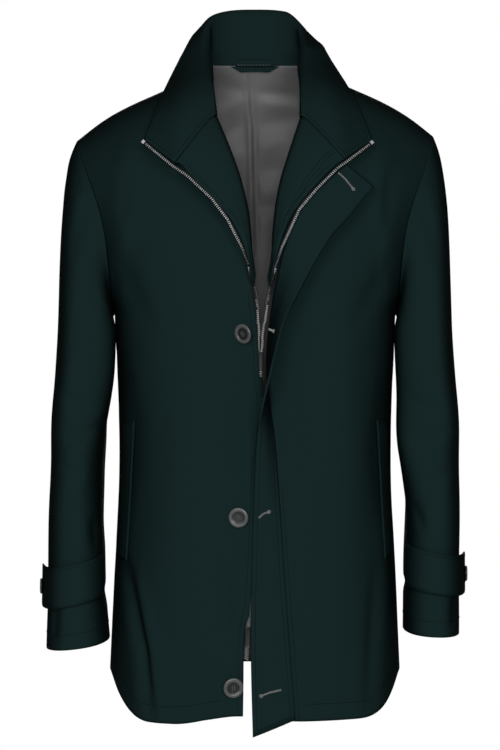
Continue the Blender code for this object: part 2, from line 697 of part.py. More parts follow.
def make_sleeve(name, under_name, table, side):
    """A top sleeve and an under sleeve from the armhole, over the sleeve head and down to the open cuff."""
    angles = np.linspace(0.0, 2.0 * math.pi, SLEEVE_RING_POINTS, endpoint=False)
    top = table[0][0]
    outward, top_outward, drop, top_drop, strength = SLEEVE_HEAD
    grid = []
    for ring in range(SLEEVE_HEAD_RINGS):
        share = ring / SLEEVE_HEAD_RINGS
        row = []
        for angle in angles:
            start = armhole_point(angle, side)
            end = sleeve_point(table, top, angle, side)
            span = np.linalg.norm(end - start)
            rise = 0.5 + 0.5 * math.cos(angle)
            leave = np.array([side * (outward + top_outward * rise), 0.0, -drop - top_drop * rise]) * strength
            arrive = np.array([side * SLEEVE_FLARE, 0.0, -1.0])
            square = share * share
            cube = square * share
            row.append(
                (2 * cube - 3 * square + 1) * start + (cube - 2 * square + share) * span * leave
                + (3 * square - 2 * cube) * end + (cube - square) * span * arrive
            )
        grid.append(row)
    for height in np.linspace(top, table[-1][0], SLEEVE_TUBE_RINGS):
        row = [sleeve_creases(sleeve_point(table, height, angle, side), side, angle) for angle in angles]
        grid.append(row)
    axis = away_from_axis(side * SLEEVE_AXIS[0], SLEEVE_AXIS[1])
    front_seam, back_seam = SLEEVE_SEAMS
    grid = np.array(grid)
    top_strip = cut_strip(grid, back_seam, front_seam + SLEEVE_RING_POINTS)
    make_wall(name, top_strip, SHELL_WALL, "shell_cloth", axis)
    make_wall(under_name, cut_strip(grid, front_seam, back_seam), SHELL_WALL, "shell_cloth", axis)


def make_lapel(name, table, side):
    """A turned-back lapel, from its roll over the front's edge to the zip."""
    inward = np.array([-side, 0.0, 0.0])
    places = np.linspace(0.0, 1.0, len(table))
    grid = []
    for share in np.linspace(0.0, 1.0, LAPEL_ROWS):
        values = [smooth(places, column(table, index), share) for index in range(5)]
        roll_x, roll_z, edge_x, edge_z, lift = values
        length = math.hypot(edge_x - roll_x, edge_z - roll_z)
        end = 1.0 - min(TAPE_SHOW / length, TAPE_SHOW_LIMIT)
        roll = ROLL_RADIUS * min(length / ROLL_FULL_WIDTH, 1.0)
        base = roll * 2.2
        row = [
            on_front(roll_x, roll_z, -0.3) + inward * ROLL_START * roll / ROLL_RADIUS,
            on_front(roll_x, roll_z, roll * 0.9) + inward * roll,
            on_front(roll_x, roll_z, roll * 2.0) + inward * roll * 0.5,
        ]
        for across in np.linspace(0.08, 1.0, LAPEL_COLUMNS):
            way = across * end
            swell = LAPEL_SWELL * math.sin(math.pi * across) * min(length / LAPEL_SWELL_WIDTH, 1.0)
            out = base + (lift - base) * across + swell
            row.append(on_front(roll_x + (edge_x - roll_x) * way, roll_z + (edge_z - roll_z) * way, out))
        grid.append(row)
    return make_wall(name, grid, LAPEL_WALL, "shell_cloth", towards(0.0, -1.0, 0.0), outward=True)


def neck_seam(x):
    """Point just above the back panel's neck seam."""
    level = Level(False, turn=math.pi / 2.0)
    point = back_point("turn", math.pi / 2.0, level.swing(x) / level.limit())
    return point + np.array([0.0, SEAM_GAP, NECK_RISE + NECK_SIDE_RISE * (x / NECK_HALF_WIDTH) ** 2])


def collar_sections():
    """The collar's sections from the right front, round the back, to the left front."""
    back = []
    for x, crest_in, crest_out, middle, edge in COLLAR_BACK:
        back.append([neck_seam(x)] + [np.array(point) for point in (crest_in, crest_out, middle, edge)])
    back.append([np.array(point) for point in COLLAR_SHOULDER])
    mirror = np.array([-1.0, 1.0, 1.0])
    fronts = []
    for table, side in ((COLLAR_FRONT_RIGHT, -1.0), (COLLAR_FRONT_LEFT, 1.0)):
        rows = []
        for neck_x, neck_z, middle_x, middle_z, edge_x, edge_z in table:
            step = np.array([-side * ROLL_RADIUS, 0.0, 0.0])
            rows.append([
                on_front(neck_x, neck_z, -0.8) + step * 0.2,
                on_front(neck_x, neck_z, ROLL_RADIUS * 0.9) + step,
                on_front(neck_x, neck_z, ROLL_RADIUS * 2.2) + step * 0.3,
                on_front(middle_x, middle_z, COLLAR_LIFT * 2.2),
                on_front(edge_x, edge_z, COLLAR_LIFT),
            ])
        fronts.append(rows)
    left = [[point * mirror for point in section] for section in back[1:]]
    return fronts[0][::-1] + back[::-1] + left + fronts[1]


def make_collar():
    """The collar: upright round the back, rolling over its crest into a leaf on each front."""
    sections = np.array(collar_sections())
    places = np.linspace(0.0, 1.0, len(sections))
    plain = np.array(COLLAR_MARKS)
    grid = []
    for station in np.linspace(0.0, 1.0, COLLAR_STATIONS):
        marks = np.array([
            [smooth(places, sections[:, mark, axis], station) for axis in range(3)] for mark in range(5)
        ])
        crisp = max(0.0, 1.0 - min(station, 1.0 - station) / COLLAR_TIP_SHARE)
        row = []
        for place in np.linspace(0.0, 1.0, COLLAR_COLUMNS):
            soft = np.array([smooth(plain, marks[:, axis], place) for axis in range(3)])
            straight = np.array([np.interp(place, plain, marks[:, axis]) for axis in range(3)])
            row.append(soft + (straight - soft) * crisp)
        grid.append(row)
    return make_wall("collar", grid, COLLAR_WALL, "shell_cloth", towards(0.0, -1.0, 0.3), outward=True)


def make_flap():
    """The buttoned flap, turned back at the top and lying over the zip below."""
    places = np.linspace(0.0, 1.0, len(FLAP))
    grid = []
    for share in np.linspace(0.0, 1.0, FLAP_ROWS):
        values = [smooth(places, column(FLAP, index), share) for index in range(7)]
        seam_x, seam_z, edge_x, edge_z, seam_lift, middle_lift, edge_lift = values
        row = []
        for across in np.linspace(0.0, 1.0, FLAP_COLUMNS):
            lift = smooth((0.0, 0.5, 1.0), (seam_lift, middle_lift, edge_lift), across)
            x = seam_x + (edge_x - seam_x) * across
            row.append(on_front(x, seam_z + (edge_z - seam_z) * across, lift))
        grid.append(row)
    return make_wall("flap", grid, FLAP_WALL, "shell_cloth", flap_outside)


def flap_outside(centre):
    """Outside test for the flap, read where it lies flat near the hem."""
    return np.array([0.0, -1.0, 0.0]) if centre[2] < FLAP_FLAT_Z else np.zeros(3)


def make_zip(name, table):
    """Half of the zip: its tape along the cloth's edge, from the collar tip to its foot."""
    places = np.linspace(0.0, 1.0, len(table))
    path = []
    for share in np.linspace(0.0, 1.0, ZIP_ROWS):
        path.append([smooth(places, column(table, index), share) for index in range(5)])
    path = np.array(path)
    heading = np.gradient(path[:, :2], axis=0)
    heading /= np.linalg.norm(heading, axis=1)[:, None]
    grid = []
    for (x, z, width, teeth_lift, cloth_lift), (along_x, along_z) in zip(path, heading):
        row = []
        for across in np.linspace(0.0, 1.0, ZIP_COLUMNS):
            lift = teeth_lift + (cloth_lift - teeth_lift) * across
            row.append(on_front(x - along_z * width * across, z + along_x * width * across, lift))
        grid.append(row)
    return make_wall(name, grid, TAPE_WALL, "zip_tape", zip_outside)


def zip_outside(centre):
    """Outside test for the zip, read along its closed length."""
    return np.array([0.0, -1.0, 0.0]) if centre[2] < ZIP_CLOSED_Z else np.zeros(3)


def make_block(name, middle, size, bevel, material):
    """A small rounded metal block."""
    bpy.ops.mesh.primitive_cube_add(size=1.0, location=np.array(middle) * MM)
    block = bpy.context.object
    block.name = name
    block.data.name = name
    for vertex in block.data.vertices:
        for axis in range(3):
            vertex.co[axis] *= size[axis] * MM
    for holder in list(block.users_collection):
        holder.objects.unlink(block)
    coat.objects.link(block)
    block.data.materials.append(materials[material])
    rounding = block.modifiers.new("rounding", "BEVEL")
    rounding.width = bevel * MM
    rounding.segments = 2
    return block


def make_slider(suffix, place):
    """A zip slider and the pull tab that hangs on it."""
    x, z = place
    thickness, height = SLIDER_SIZE[1:]
    middle_y = on_front(x, z, -ZIP_SINK)[1] - SEAM_GAP - thickness / 2.0
    make_block("slider_" + suffix, (x, middle_y, z), SLIDER_SIZE, SLIDER_ROUNDING, "zip_metal")
    pull_y = middle_y - thickness / 2.0 - PULL_GAP - PULL_SIZE[1] / 2.0
    hinge_z = z + height / 2.0 - PULL_DROP
    pull_z = hinge_z - PULL_SIZE[2] / 2.0 + PULL_SIZE[1] / 2.0
    make_block("pull_" + suffix, (x, pull_y, pull_z), PULL_SIZE, PULL_ROUNDING, "zip_metal")


def make_button(name, place, facing, radius):
    """A turned button with a raised rim, on its thread shank."""
    outline = [(share * radius * MM, 0.0, height * MM) for share, height in BUTTON_PROFILE]
    mesh = bpy.data.meshes.new(name)
    mesh.from_pydata(outline, [(index, index + 1) for index in range(len(outline) - 1)], [])
    button = bpy.data.objects.new(name, mesh)
    coat.objects.link(button)
    button.data.materials.append(materials["button_horn"])
    turned = button.modifiers.new("turned", "SCREW")
    turned.steps = BUTTON_STEPS
    turned.render_steps = BUTTON_STEPS
    turned.use_merge_vertices = True
    turned.merge_threshold = 0.00005
    direction = Vector(facing)
    button.rotation_mode = "QUATERNION"
    button.rotation_quaternion = direction.to_track_quat("Z", "Y")
    button.location = (np.array(place) + np.array(facing) * BUTTON_GAP) * MM
    return button


def make_front_buttons():
    """The three buttons on the right front."""
    for name, x, z in FRONT_BUTTONS:
        make_button(name, on_front(x, z, 0.0), (0.0, -1.0, 0.0), BUTTON_RADIUS)


def make_pocket(name, sizes):
    """A pocket welt, made from the front panel's points moved out."""
    top, foot, top_x, foot_x, width = sizes
    side = math.copysign(1.0, top_x)
    grid = []
    for share in np.linspace(0.0, 1.0, POCKET_ROWS):
        z = top + (foot - top) * share
        start_x = top_x + (foot_x - top_x) * share
        level = Level(True, height=z)
        angle = level.swing(start_x)
        line = [level.at(angle)]
        length = 0.0
        while length < width:
            angle += side * POCKET_STEP
            line.append(level.at(angle))
            length += np.linalg.norm(line[-1] - line[-2])
        line = np.array(line)
        row = []
        for across in np.linspace(0.0, 1.0, POCKET_COLUMNS):
            index = across * (len(line) - 2)
            low = int(index)
            point = line[low] + (line[low + 1] - line[low]) * (index - low)
            tangent = line[low + 1] - line[low]
            normal = np.array([-tangent[1], tangent[0], 0.0]) * -side
            normal /= np.linalg.norm(normal)
            point = point + normal * SEAM_GAP
            point[1] -= fold_depth(FRONT_FOLDS, point)
            point[2] -= POCKET_END_SLANT * across * (1.0 - 2.0 * share)
            row.append(point)
        grid.append(row)
    return make_wall(name, grid, TRIM_WALL, "shell_cloth", away_from_axis(0.0, 0.0), outward=True)


def sleeve_normal(table, height, angle, side):
    """Outward direction of the sleeve's face, level with the floor."""
    nudge = 0.02
    ahead = sleeve_point(table, height, angle + nudge, side)
    behind = sleeve_point(table, height, angle - nudge, side)
    tangent = ahead - behind
    normal = np.array([-tangent[1], tangent[0], 0.0]) * side
    return normal / np.linalg.norm(normal)


def strap_stand(share):
    """How far the strap stands off the sleeve at a share of its length."""
    loose = max((share - STRAP_LOOSE_FROM) / (1.0 - STRAP_LOOSE_FROM), 0.0)
    return STRAP_SEAT + STRAP_STAND * loose ** STRAP_LOOSE_POWER


def make_strap(name, button_name, sleeve, sizes, side):
    """A cuff strap round the front of the sleeve, with its free end and button at the outer side."""
    middle, half = sizes
    grid = []
    for share in np.linspace(0.0, 1.0, STRAP_ROWS):
        angle = STRAP_START + (STRAP_END - STRAP_START) * share
        narrow = max((share - STRAP_NARROW_FROM) / (1.0 - STRAP_NARROW_FROM), 0.0)
        reach = half * (1.0 - STRAP_NARROW * narrow ** 2)
        row = []
        for height in np.linspace(middle - reach, middle + reach, STRAP_COLUMNS):
            point = sleeve_creases(sleeve_point(sleeve, height, angle, side), side, angle)
            row.append(point + sleeve_normal(sleeve, height, angle, side) * strap_stand(share))
        grid.append(row)
    axis = away_from_axis(side * SLEEVE_AXIS[0], STRAP_AXIS_Y)
    make_wall(name, grid, TRIM_WALL, "shell_cloth", axis, outward=True)
    share = (CUFF_BUTTON_ANGLE - STRAP_START) / (STRAP_END - STRAP_START)
    seat = sleeve_point(sleeve, middle, CUFF_BUTTON_ANGLE, side)
    facing = sleeve_normal(sleeve, middle, CUFF_BUTTON_ANGLE, side)
    seat += facing * (strap_stand(share) + TRIM_WALL + CUFF_BUTTON_GAP)
    make_button(button_name, seat, tuple(facing), CUFF_BUTTON_RADIUS)


def neck_patch_point(x, below, stand):
    """Point in front of the lining at x, a share of the neck curve below the seam."""
    turn = math.pi / 2.0 * (1.0 - below)
    level = Level(False, turn=turn)
    point = lining_point("turn", turn, level.swing(x) / level.limit())
    return point - np.array([0.0, stand, stand * PATCH_DROP])


def make_neck_patch():
    """The shell-cloth patch under the back neck seam, and the bare hanger loop over it."""
    top_half, foot_half, top, foot = PATCH_SIZE
    grid = []
    for share in np.linspace(0.0, 1.0, PATCH_ROWS):
        half = top_half + (foot_half - top_half) * share
        below = top + (foot - top) * share
        across = np.linspace(-half, half, PATCH_COLUMNS)
        grid.append([neck_patch_point(x, below, PATCH_STAND) for x in across])
    make_wall("neck_patch", grid, PATCH_WALL, "shell_cloth", towards(0.0, -1.0, 0.0), outward=True)
    half, top, foot = LOOP_SIZE
    grid = []
    for share in np.linspace(0.0, 1.0, LOOP_ROWS):
        row = []
        for x in np.linspace(-half, half, LOOP_COLUMNS):
            stand = PATCH_STAND + PATCH_WALL + LOOP_GAP + LOOP_BOW * math.cos(0.5 * math.pi * x / half)
            row.append(neck_patch_point(x, top + (foot - top) * share, stand))
        grid.append(row)
    make_wall("hanger_loop", grid, LOOP_WALL, "zip_tape", towards(0.0, -1.0, 0.0), outward=True)


def clear_scene():
    """Remove what the scene holds."""
    for item in list(bpy.data.objects):
        bpy.data.objects.remove(item, do_unlink=True)


def make_materials():
    """One plain finish for each kind of material."""
    made = {}
    for name, (colour, roughness, metallic) in COLOURS.items():
        material = bpy.data.materials.new(name)
        material.use_nodes = True
        shader = material.node_tree.nodes["Principled BSDF"]
        shader.inputs["Base Color"].default_value = (*colour, 1.0)
        shader.inputs["Roughness"].default_value = roughness
        shader.inputs["Metallic"].default_value = metallic
        made[name] = material
    return made


clear_scene()
coat = bpy.data.collections.new("car_coat")
bpy.context.scene.collection.children.link(coat)
materials = make_materials()
make_front("front_right", RIGHT_EDGE, -1.0)
make_front("front_left", LEFT_EDGE, 1.0)
make_back()
make_lining()
make_sleeve("sleeve_right", "under_sleeve_right", SLEEVE_RIGHT, -1.0)
make_sleeve("sleeve_left", "under_sleeve_left", SLEEVE_LEFT, 1.0)
make_collar()
make_lapel("facing_right", LAPEL_RIGHT, -1.0)
make_lapel("facing_left", LAPEL_LEFT, 1.0)
make_flap()
make_zip("zip_right", ZIP_RIGHT)
make_zip("zip_left", ZIP_LEFT)
make_slider("upper", SLIDER_UPPER)
make_slider("lower", SLIDER_LOWER)
make_front_buttons()
make_pocket("pocket_right", POCKET_RIGHT)
make_pocket("pocket_left", POCKET_LEFT)
make_strap("strap_right", "cuff_button_right", SLEEVE_RIGHT, STRAP_RIGHT, -1.0)
make_strap("strap_left", "cuff_button_left", SLEEVE_LEFT, STRAP_LEFT, 1.0)
make_neck_patch()
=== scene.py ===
"""A dark green car coat: cloth, sewing, zip and buttons dressed over its CAD frame.

Lengths in the tables are millimetres in the part's frame, X across, Z up, the front facing -Y.
"""

import json
import logging
import math
from dataclasses import dataclass
from enum import Enum
from typing import Callable, Iterable, Optional, Sequence

import bmesh
import bpy
import numpy as np
from mathutils import Matrix, Vector, noise
from mathutils.bvhtree import BVHTree

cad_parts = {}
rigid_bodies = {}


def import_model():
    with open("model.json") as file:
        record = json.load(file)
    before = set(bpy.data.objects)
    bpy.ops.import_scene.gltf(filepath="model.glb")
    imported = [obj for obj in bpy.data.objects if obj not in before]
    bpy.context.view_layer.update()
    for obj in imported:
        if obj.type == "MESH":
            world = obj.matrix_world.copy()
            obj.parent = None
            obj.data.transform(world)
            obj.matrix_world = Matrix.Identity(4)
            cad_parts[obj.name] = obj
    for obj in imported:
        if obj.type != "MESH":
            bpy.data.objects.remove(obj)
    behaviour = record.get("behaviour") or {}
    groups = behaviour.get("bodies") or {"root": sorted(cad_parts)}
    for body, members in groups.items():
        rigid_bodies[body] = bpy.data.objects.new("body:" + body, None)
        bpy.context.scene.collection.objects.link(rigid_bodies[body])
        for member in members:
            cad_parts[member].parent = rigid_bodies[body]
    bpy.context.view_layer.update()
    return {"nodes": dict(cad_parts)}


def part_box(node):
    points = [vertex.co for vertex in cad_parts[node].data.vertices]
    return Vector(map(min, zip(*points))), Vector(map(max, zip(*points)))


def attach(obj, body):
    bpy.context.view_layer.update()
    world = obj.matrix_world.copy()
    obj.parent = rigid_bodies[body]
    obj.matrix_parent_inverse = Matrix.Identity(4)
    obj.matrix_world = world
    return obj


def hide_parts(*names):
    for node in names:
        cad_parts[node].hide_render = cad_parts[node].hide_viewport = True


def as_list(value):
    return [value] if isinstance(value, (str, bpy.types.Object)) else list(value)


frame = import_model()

MM = 0.001
COAT = "coat"
CLOTH_UV = "cloth"
SHARP = math.radians(50.0)
FAR = 999.0
SIDES = ("right", "left")
log = logging.getLogger("car_coat")

Point = tuple[float, float]
Path = tuple[Point, ...]
Shape = tuple[np.ndarray, Sequence]


class Face(Enum):
    """The side of the coat that a crease or a row of stitches is on."""

    FRONT = -1.0
    BACK = 1.0
    BOTH = 0.0


class Hold(Enum):
    """How a cloth piece is held."""

    HUNG = "hung"
    FOLDED = "folded"


def off_line(points: np.ndarray, path: Path) -> tuple[np.ndarray, np.ndarray]:
    """Distance of points from a line drawn in x and z, and how far along it they are.

    Args:
        points: Rows of x, y, z in millimetres.
        path: The line's corners.

    Returns:
        The distances in millimetres, and the shares along the line.
    """
    flat = points[:, [0, 2]]
    line = np.array(path, float)
    lengths = np.linalg.norm(np.diff(line, axis=0), axis=1)
    reached = np.concatenate([[0.0], np.cumsum(lengths)]) / lengths.sum()
    near = np.full(len(flat), 1e9)
    along = np.zeros(len(flat))
    for index, length in enumerate(lengths):
        start, step = line[index], line[index + 1] - line[index]
        share = np.clip(((flat - start) @ step) / length**2, 0.0, 1.0)
        away = np.linalg.norm(flat - start - share[:, None] * step, axis=1)
        closer = away < near
        near = np.where(closer, away, near)
        place = reached[index] + share * (reached[index + 1] - reached[index])
        along = np.where(closer, place, along)
    return near, along


@dataclass(frozen=True)
class Shift:
    """A stretch of cloth near a line, moved bodily, as where a seam is sewn down."""

    path: Path
    reach: float
    move: tuple[float, float, float]
    face: Face

    def moves(self, points: np.ndarray) -> np.ndarray:
        """Movement of each point.

        Args:
            points: Rows of x, y, z in millimetres.

        Returns:
            Rows of movements in millimetres.
        """
        near, _ = off_line(points, self.path)
        share = np.clip(1.0 - near / self.reach, 0.0, 1.0)
        share = share * share * (3.0 - 2.0 * share) * (points[:, 1] * self.face.value >= 0.0)
        return share[:, None] * np.array(self.move)


@dataclass(frozen=True)
class Crease:
    """A soft ridge or trough laid along a line on one side of the coat."""

    path: Path
    depth: float
    width: float
    face: Face

    def rise(self, points: np.ndarray) -> np.ndarray:
        """Height of the crease at each point.

        Args:
            points: Rows of x, y, z in millimetres.

        Returns:
            Outward rise of each point in millimetres.
        """
        near, along = off_line(points, self.path)
        taper = np.sin(np.pi * np.clip(along, 0.0, 1.0)) ** 0.7
        return self.depth * np.exp(-((near / self.width) ** 2)) * (0.15 + 0.85 * taper)


def creases(face: Face, *rows: tuple) -> tuple[Crease, ...]:
    """Creases on one side of the coat, from rows of depth, width and corners."""
    return tuple(Crease(tuple(path), depth, width, face) for depth, width, *path in rows)


def fresh_select(thing: bpy.types.Object) -> None:
    """Make one object the only selected and active one.

    Args:
        thing: The object to select.
    """
    for other in bpy.context.view_layer.objects:
        other.select_set(False)
    bpy.context.view_layer.objects.active = thing
    thing.select_set(True)


def linked(name: str, mesh: bpy.types.Mesh) -> bpy.types.Object:
    """Put a mesh into the scene as a new object.

    Args:
        name: Name of the object.
        mesh: Its mesh.

    Returns:
        The new object.
    """
    made = bpy.data.objects.new(name, mesh)
    bpy.context.scene.collection.objects.link(made)
    return made


def points_of(mesh: bpy.types.Mesh) -> np.ndarray:
    """Vertex places of a mesh.

    Args:
        mesh: The mesh to read.

    Returns:
        Rows of x, y, z in metres.
    """
    flat = np.zeros(len(mesh.vertices) * 3)
    mesh.vertices.foreach_get("co", flat)
    return flat.reshape(-1, 3)


def joined_mesh(name: str, pieces: Iterable[Shape]) -> bpy.types.Mesh:
    """Join many small shapes into one mesh.

    Args:
        name: Name of the mesh.
        pieces: Pairs of points in metres and faces over those points.

    Returns:
        The joined mesh.
    """
    points, faces, first = [], [], 0
    for corners, sides in pieces:
        points.extend(corners)
        faces.extend([[first + corner for corner in side] for side in sides])
        first += len(corners)
    mesh = bpy.data.meshes.new(name)
    mesh.from_pydata([tuple(point) for point in points], [], faces)
    mesh.update()
    return mesh


def joined_piece(name: str, shapes: Iterable[Shape]) -> bpy.types.Object:
    """Small shapes joined into one new object."""
    return linked(name, joined_mesh(name, shapes))


def round_off(thing: bpy.types.Object, levels: int) -> None:
    """Subdivide a piece smoothly and keep the result.

    Args:
        thing: The piece, which is left as the only selected one.
        levels: How many times.
    """
    rounded = thing.modifiers.new("rounded", "SUBSURF")
    rounded.levels = levels
    rounded.render_levels = levels
    fresh_select(thing)
    bpy.ops.object.modifier_apply(modifier=rounded.name)


def set_inputs(node: bpy.types.Node, values: dict[str, object]) -> None:
    """Set the named inputs of a shader node.

    Args:
        node: The node.
        values: Each input's value by its name.
    """
    for name, value in values.items():
        node.inputs[name].default_value = value


def resampled(path: np.ndarray, step: float) -> np.ndarray:
    """Points at even steps along a line.

    Args:
        path: Rows of coordinates.
        step: Distance between the points, in the same unit.

    Returns:
        The new rows.
    """
    lengths = np.linalg.norm(np.diff(path, axis=0), axis=1)
    reached = np.concatenate([[0.0], np.cumsum(lengths)])
    places = np.linspace(0.0, reached[-1], max(int(round(reached[-1] / step)) + 1, 2))
    return np.stack([np.interp(places, reached, path[:, axis]) for axis in range(path.shape[1])], 1)


def weave_group() -> bpy.types.NodeTree:
    """Shared fine twill: a shade and a normal over the cloth's own map.

    Returns:
        The shader node group.
    """
    name = "fine_twill"
    if name in bpy.data.node_groups:
        return bpy.data.node_groups[name]
    group = bpy.data.node_groups.new(name, "ShaderNodeTree")
    sockets = group.interface
    sockets.new_socket("Threads", in_out="INPUT", socket_type="NodeSocketFloat")
    sockets.new_socket("Relief", in_out="INPUT", socket_type="NodeSocketFloat")
    sockets.new_socket("Shade", in_out="OUTPUT", socket_type="NodeSocketFloat")
    sockets.new_socket("Normal", in_out="OUTPUT", socket_type="NodeSocketVector")
    nodes, links = group.nodes, group.links
    given = nodes.new("NodeGroupInput")
    result = nodes.new("NodeGroupOutput")
    place = nodes.new("ShaderNodeUVMap")
    place.uv_map = CLOTH_UV
    scaled = nodes.new("ShaderNodeVectorMath")
    scaled.operation = "SCALE"
    links.new(place.outputs["UV"], scaled.inputs[0])
    links.new(given.outputs["Threads"], scaled.inputs["Scale"])
    ribs = nodes.new("ShaderNodeTexWave")
    ribs.bands_direction = "DIAGONAL"
    set_inputs(ribs, {"Scale": 0.5, "Distortion": 0.6})
    links.new(scaled.outputs["Vector"], ribs.inputs["Vector"])
    fibre = nodes.new("ShaderNodeTexNoise")
    set_inputs(fibre, {"Scale": 0.35, "Detail": 3.0})
    links.new(scaled.outputs["Vector"], fibre.inputs["Vector"])
    mixed = nodes.new("ShaderNodeMath")
    mixed.operation = "MULTIPLY_ADD"
    mixed.inputs[1].default_value = 0.5
    links.new(ribs.outputs["Fac"], mixed.inputs[0])
    links.new(fibre.outputs["Fac"], mixed.inputs[2])
    bump = nodes.new("ShaderNodeBump")
    bump.inputs["Distance"].default_value = 0.0002
    links.new(given.outputs["Relief"], bump.inputs["Strength"])
    links.new(mixed.outputs["Value"], bump.inputs["Height"])
    links.new(mixed.outputs["Value"], result.inputs["Shade"])
    links.new(bump.outputs["Normal"], result.inputs["Normal"])
    return group


@dataclass(frozen=True)
class Finish:
    """What a piece is finished with."""

    name: str
    slot: str

    def material(self) -> bpy.types.Material:
        """The finish as a material, made once.

        Returns:
            The material.
        """
        if self.name in bpy.data.materials:
            return bpy.data.materials[self.name]
        made = bpy.data.materials.new(self.name)
        made.use_nodes = True
        self.shade(made)
        return made

    def shade(self, made: bpy.types.Material) -> None:
        """Give the new material its nodes."""
        raise NotImplementedError


@dataclass(frozen=True)
class ClothFinish(Finish):
    """A woven cloth: two close shades over a fine twill, with painted shade that darkens it as it turns
    away from the viewer.
    """

    low: tuple[float, float, float]
    high: tuple[float, float, float]
    roughness: float
    sheen: float
    sheen_roughness: float
    specular: float
    threads: float
    relief: float
    # How far the painted shade darkens the cloth where it turns away from the viewer.
    turned_away_shade: float = 0.0

    def shade(self, made: bpy.types.Material) -> None:
        """Give the new material its weave, its shades and its painted shade where it turns away.

        Args:
            made: The material.
        """
        nodes, links = made.node_tree.nodes, made.node_tree.links
        surface = nodes["Principled BSDF"]
        set_inputs(surface, {"Roughness": self.roughness, "Sheen Weight": self.sheen,
                             "Sheen Roughness": self.sheen_roughness, "Specular IOR Level": self.specular})
        weave = nodes.new("ShaderNodeGroup")
        weave.node_tree = weave_group()
        set_inputs(weave, {"Threads": self.threads, "Relief": self.relief})
        shades = nodes.new("ShaderNodeMix")
        shades.data_type = "RGBA"
        set_inputs(shades, {"A": (*self.low, 1.0), "B": (*self.high, 1.0)})
        links.new(weave.outputs["Shade"], shades.inputs["Factor"])
        # Painted shade: the Layer Weight facing darkens the base colour towards black as the surface turns
        # away from the viewer.
        turned = nodes.new("ShaderNodeLayerWeight")
        set_inputs(turned, {"Blend": 0.5})
        painted_shade_amount = nodes.new("ShaderNodeMapRange")
        painted_shade_amount.interpolation_type = "SMOOTHSTEP"
        set_inputs(painted_shade_amount, {"From Min": 0.0, "From Max": 0.8, "To Min": 1.0, "To Max": 1.0 - self.turned_away_shade})
        links.new(turned.outputs["Facing"], painted_shade_amount.inputs["Value"])
        painted_shade_mix = nodes.new("ShaderNodeMix")
        painted_shade_mix.data_type = "RGBA"
        set_inputs(painted_shade_mix, {"A": (0.0, 0.0, 0.0, 1.0)})
        links.new(painted_shade_amount.outputs["Result"], painted_shade_mix.inputs["Factor"])
        links.new(shades.outputs["Result"], painted_shade_mix.inputs["B"])
        links.new(painted_shade_mix.outputs["Result"], surface.inputs["Base Color"])
        links.new(weave.outputs["Normal"], surface.inputs["Normal"])
        made.diffuse_color = (*self.high, 1.0)


@dataclass(frozen=True)
class HardFinish(Finish):
    """A plain hard finish: metal, horn or thread."""

    colour: tuple[float, float, float]
    roughness: float
    metallic: float = 0.0
    specular: float = 0.3

    def shade(self, made: bpy.types.Material) -> None:
        """Give the new material its colour and gloss.

        Args:
            made: The material.
        """
        set_inputs(made.node_tree.nodes["Principled BSDF"], {
            "Base Color": (*self.colour, 1.0), "Roughness": self.roughness, "Metallic": self.metallic,
            "Specular IOR Level": self.specular})


# The last value given to the shell and to the lining sets their painted shade where they turn away from the
# viewer.
SHELL = ClothFinish("shell_cloth_green", "shell_cloth", (0.0030, 0.0086, 0.0086), (0.0054, 0.0136, 0.0136),
                    0.95, 0.0, 0.5, 0.03, 2600.0, 0.35, 0.8)
LINING = ClothFinish("lining_satin_grey", "lining_satin", (0.070, 0.070, 0.071), (0.094, 0.094, 0.095),
                     0.55, 0.03, 0.3, 0.25, 4000.0, 0.10, 0.5)
# The tape's colour is darkened well below its own grey: painted shade for the shadow it lies in between the
# fronts.
TAPE_PAINTED_SHADE = ClothFinish("zip_tape_painted_shade", "zip_tape", (0.0040, 0.0046, 0.0046), (0.0100, 0.0106, 0.0106),
                   0.75, 0.0, 0.5, 0.1, 1600.0, 0.6)
DARK_TAPE = ClothFinish("loop_tape_dark", "zip_tape", (0.0030, 0.0080, 0.0080), (0.0050, 0.0120, 0.0120),
                        0.85, 0.0, 0.5, 0.05, 1600.0, 0.5)
# The teeth's steel is darker than bare steel: partly the teeth's own dull metal, partly painted shade for
# the shadow they lie in.
STEEL_AND_PAINTED_SHADE = HardFinish("zip_metal_steel_and_painted_shade", "zip_metal", (0.16, 0.16, 0.16), 0.45, 1.0)
SLIDER_METAL = HardFinish("zip_metal_dark", "zip_metal", (0.024, 0.024, 0.024), 0.6, 1.0)
HORN = HardFinish("button_horn_dark", "button_horn", (0.008, 0.009, 0.009), 0.36)
# The rim's lighter colour is a painted highlight on the button's glossy domed rim.
HORN_RIM_HIGHLIGHT = HardFinish("button_horn_rim_painted_highlight", "button_horn", (0.050, 0.052, 0.052), 0.30)
SHELL_THREAD = HardFinish("thread_green", "shell_cloth", (0.0006, 0.0012, 0.0012), 1.0, 0.0, 0.0)
BUTTON_THREAD = HardFinish("thread_button", "button_horn", (0.050, 0.052, 0.052), 0.8)
GREY_THREAD = HardFinish("thread_grey", "zip_tape", (0.17, 0.175, 0.17), 0.8)


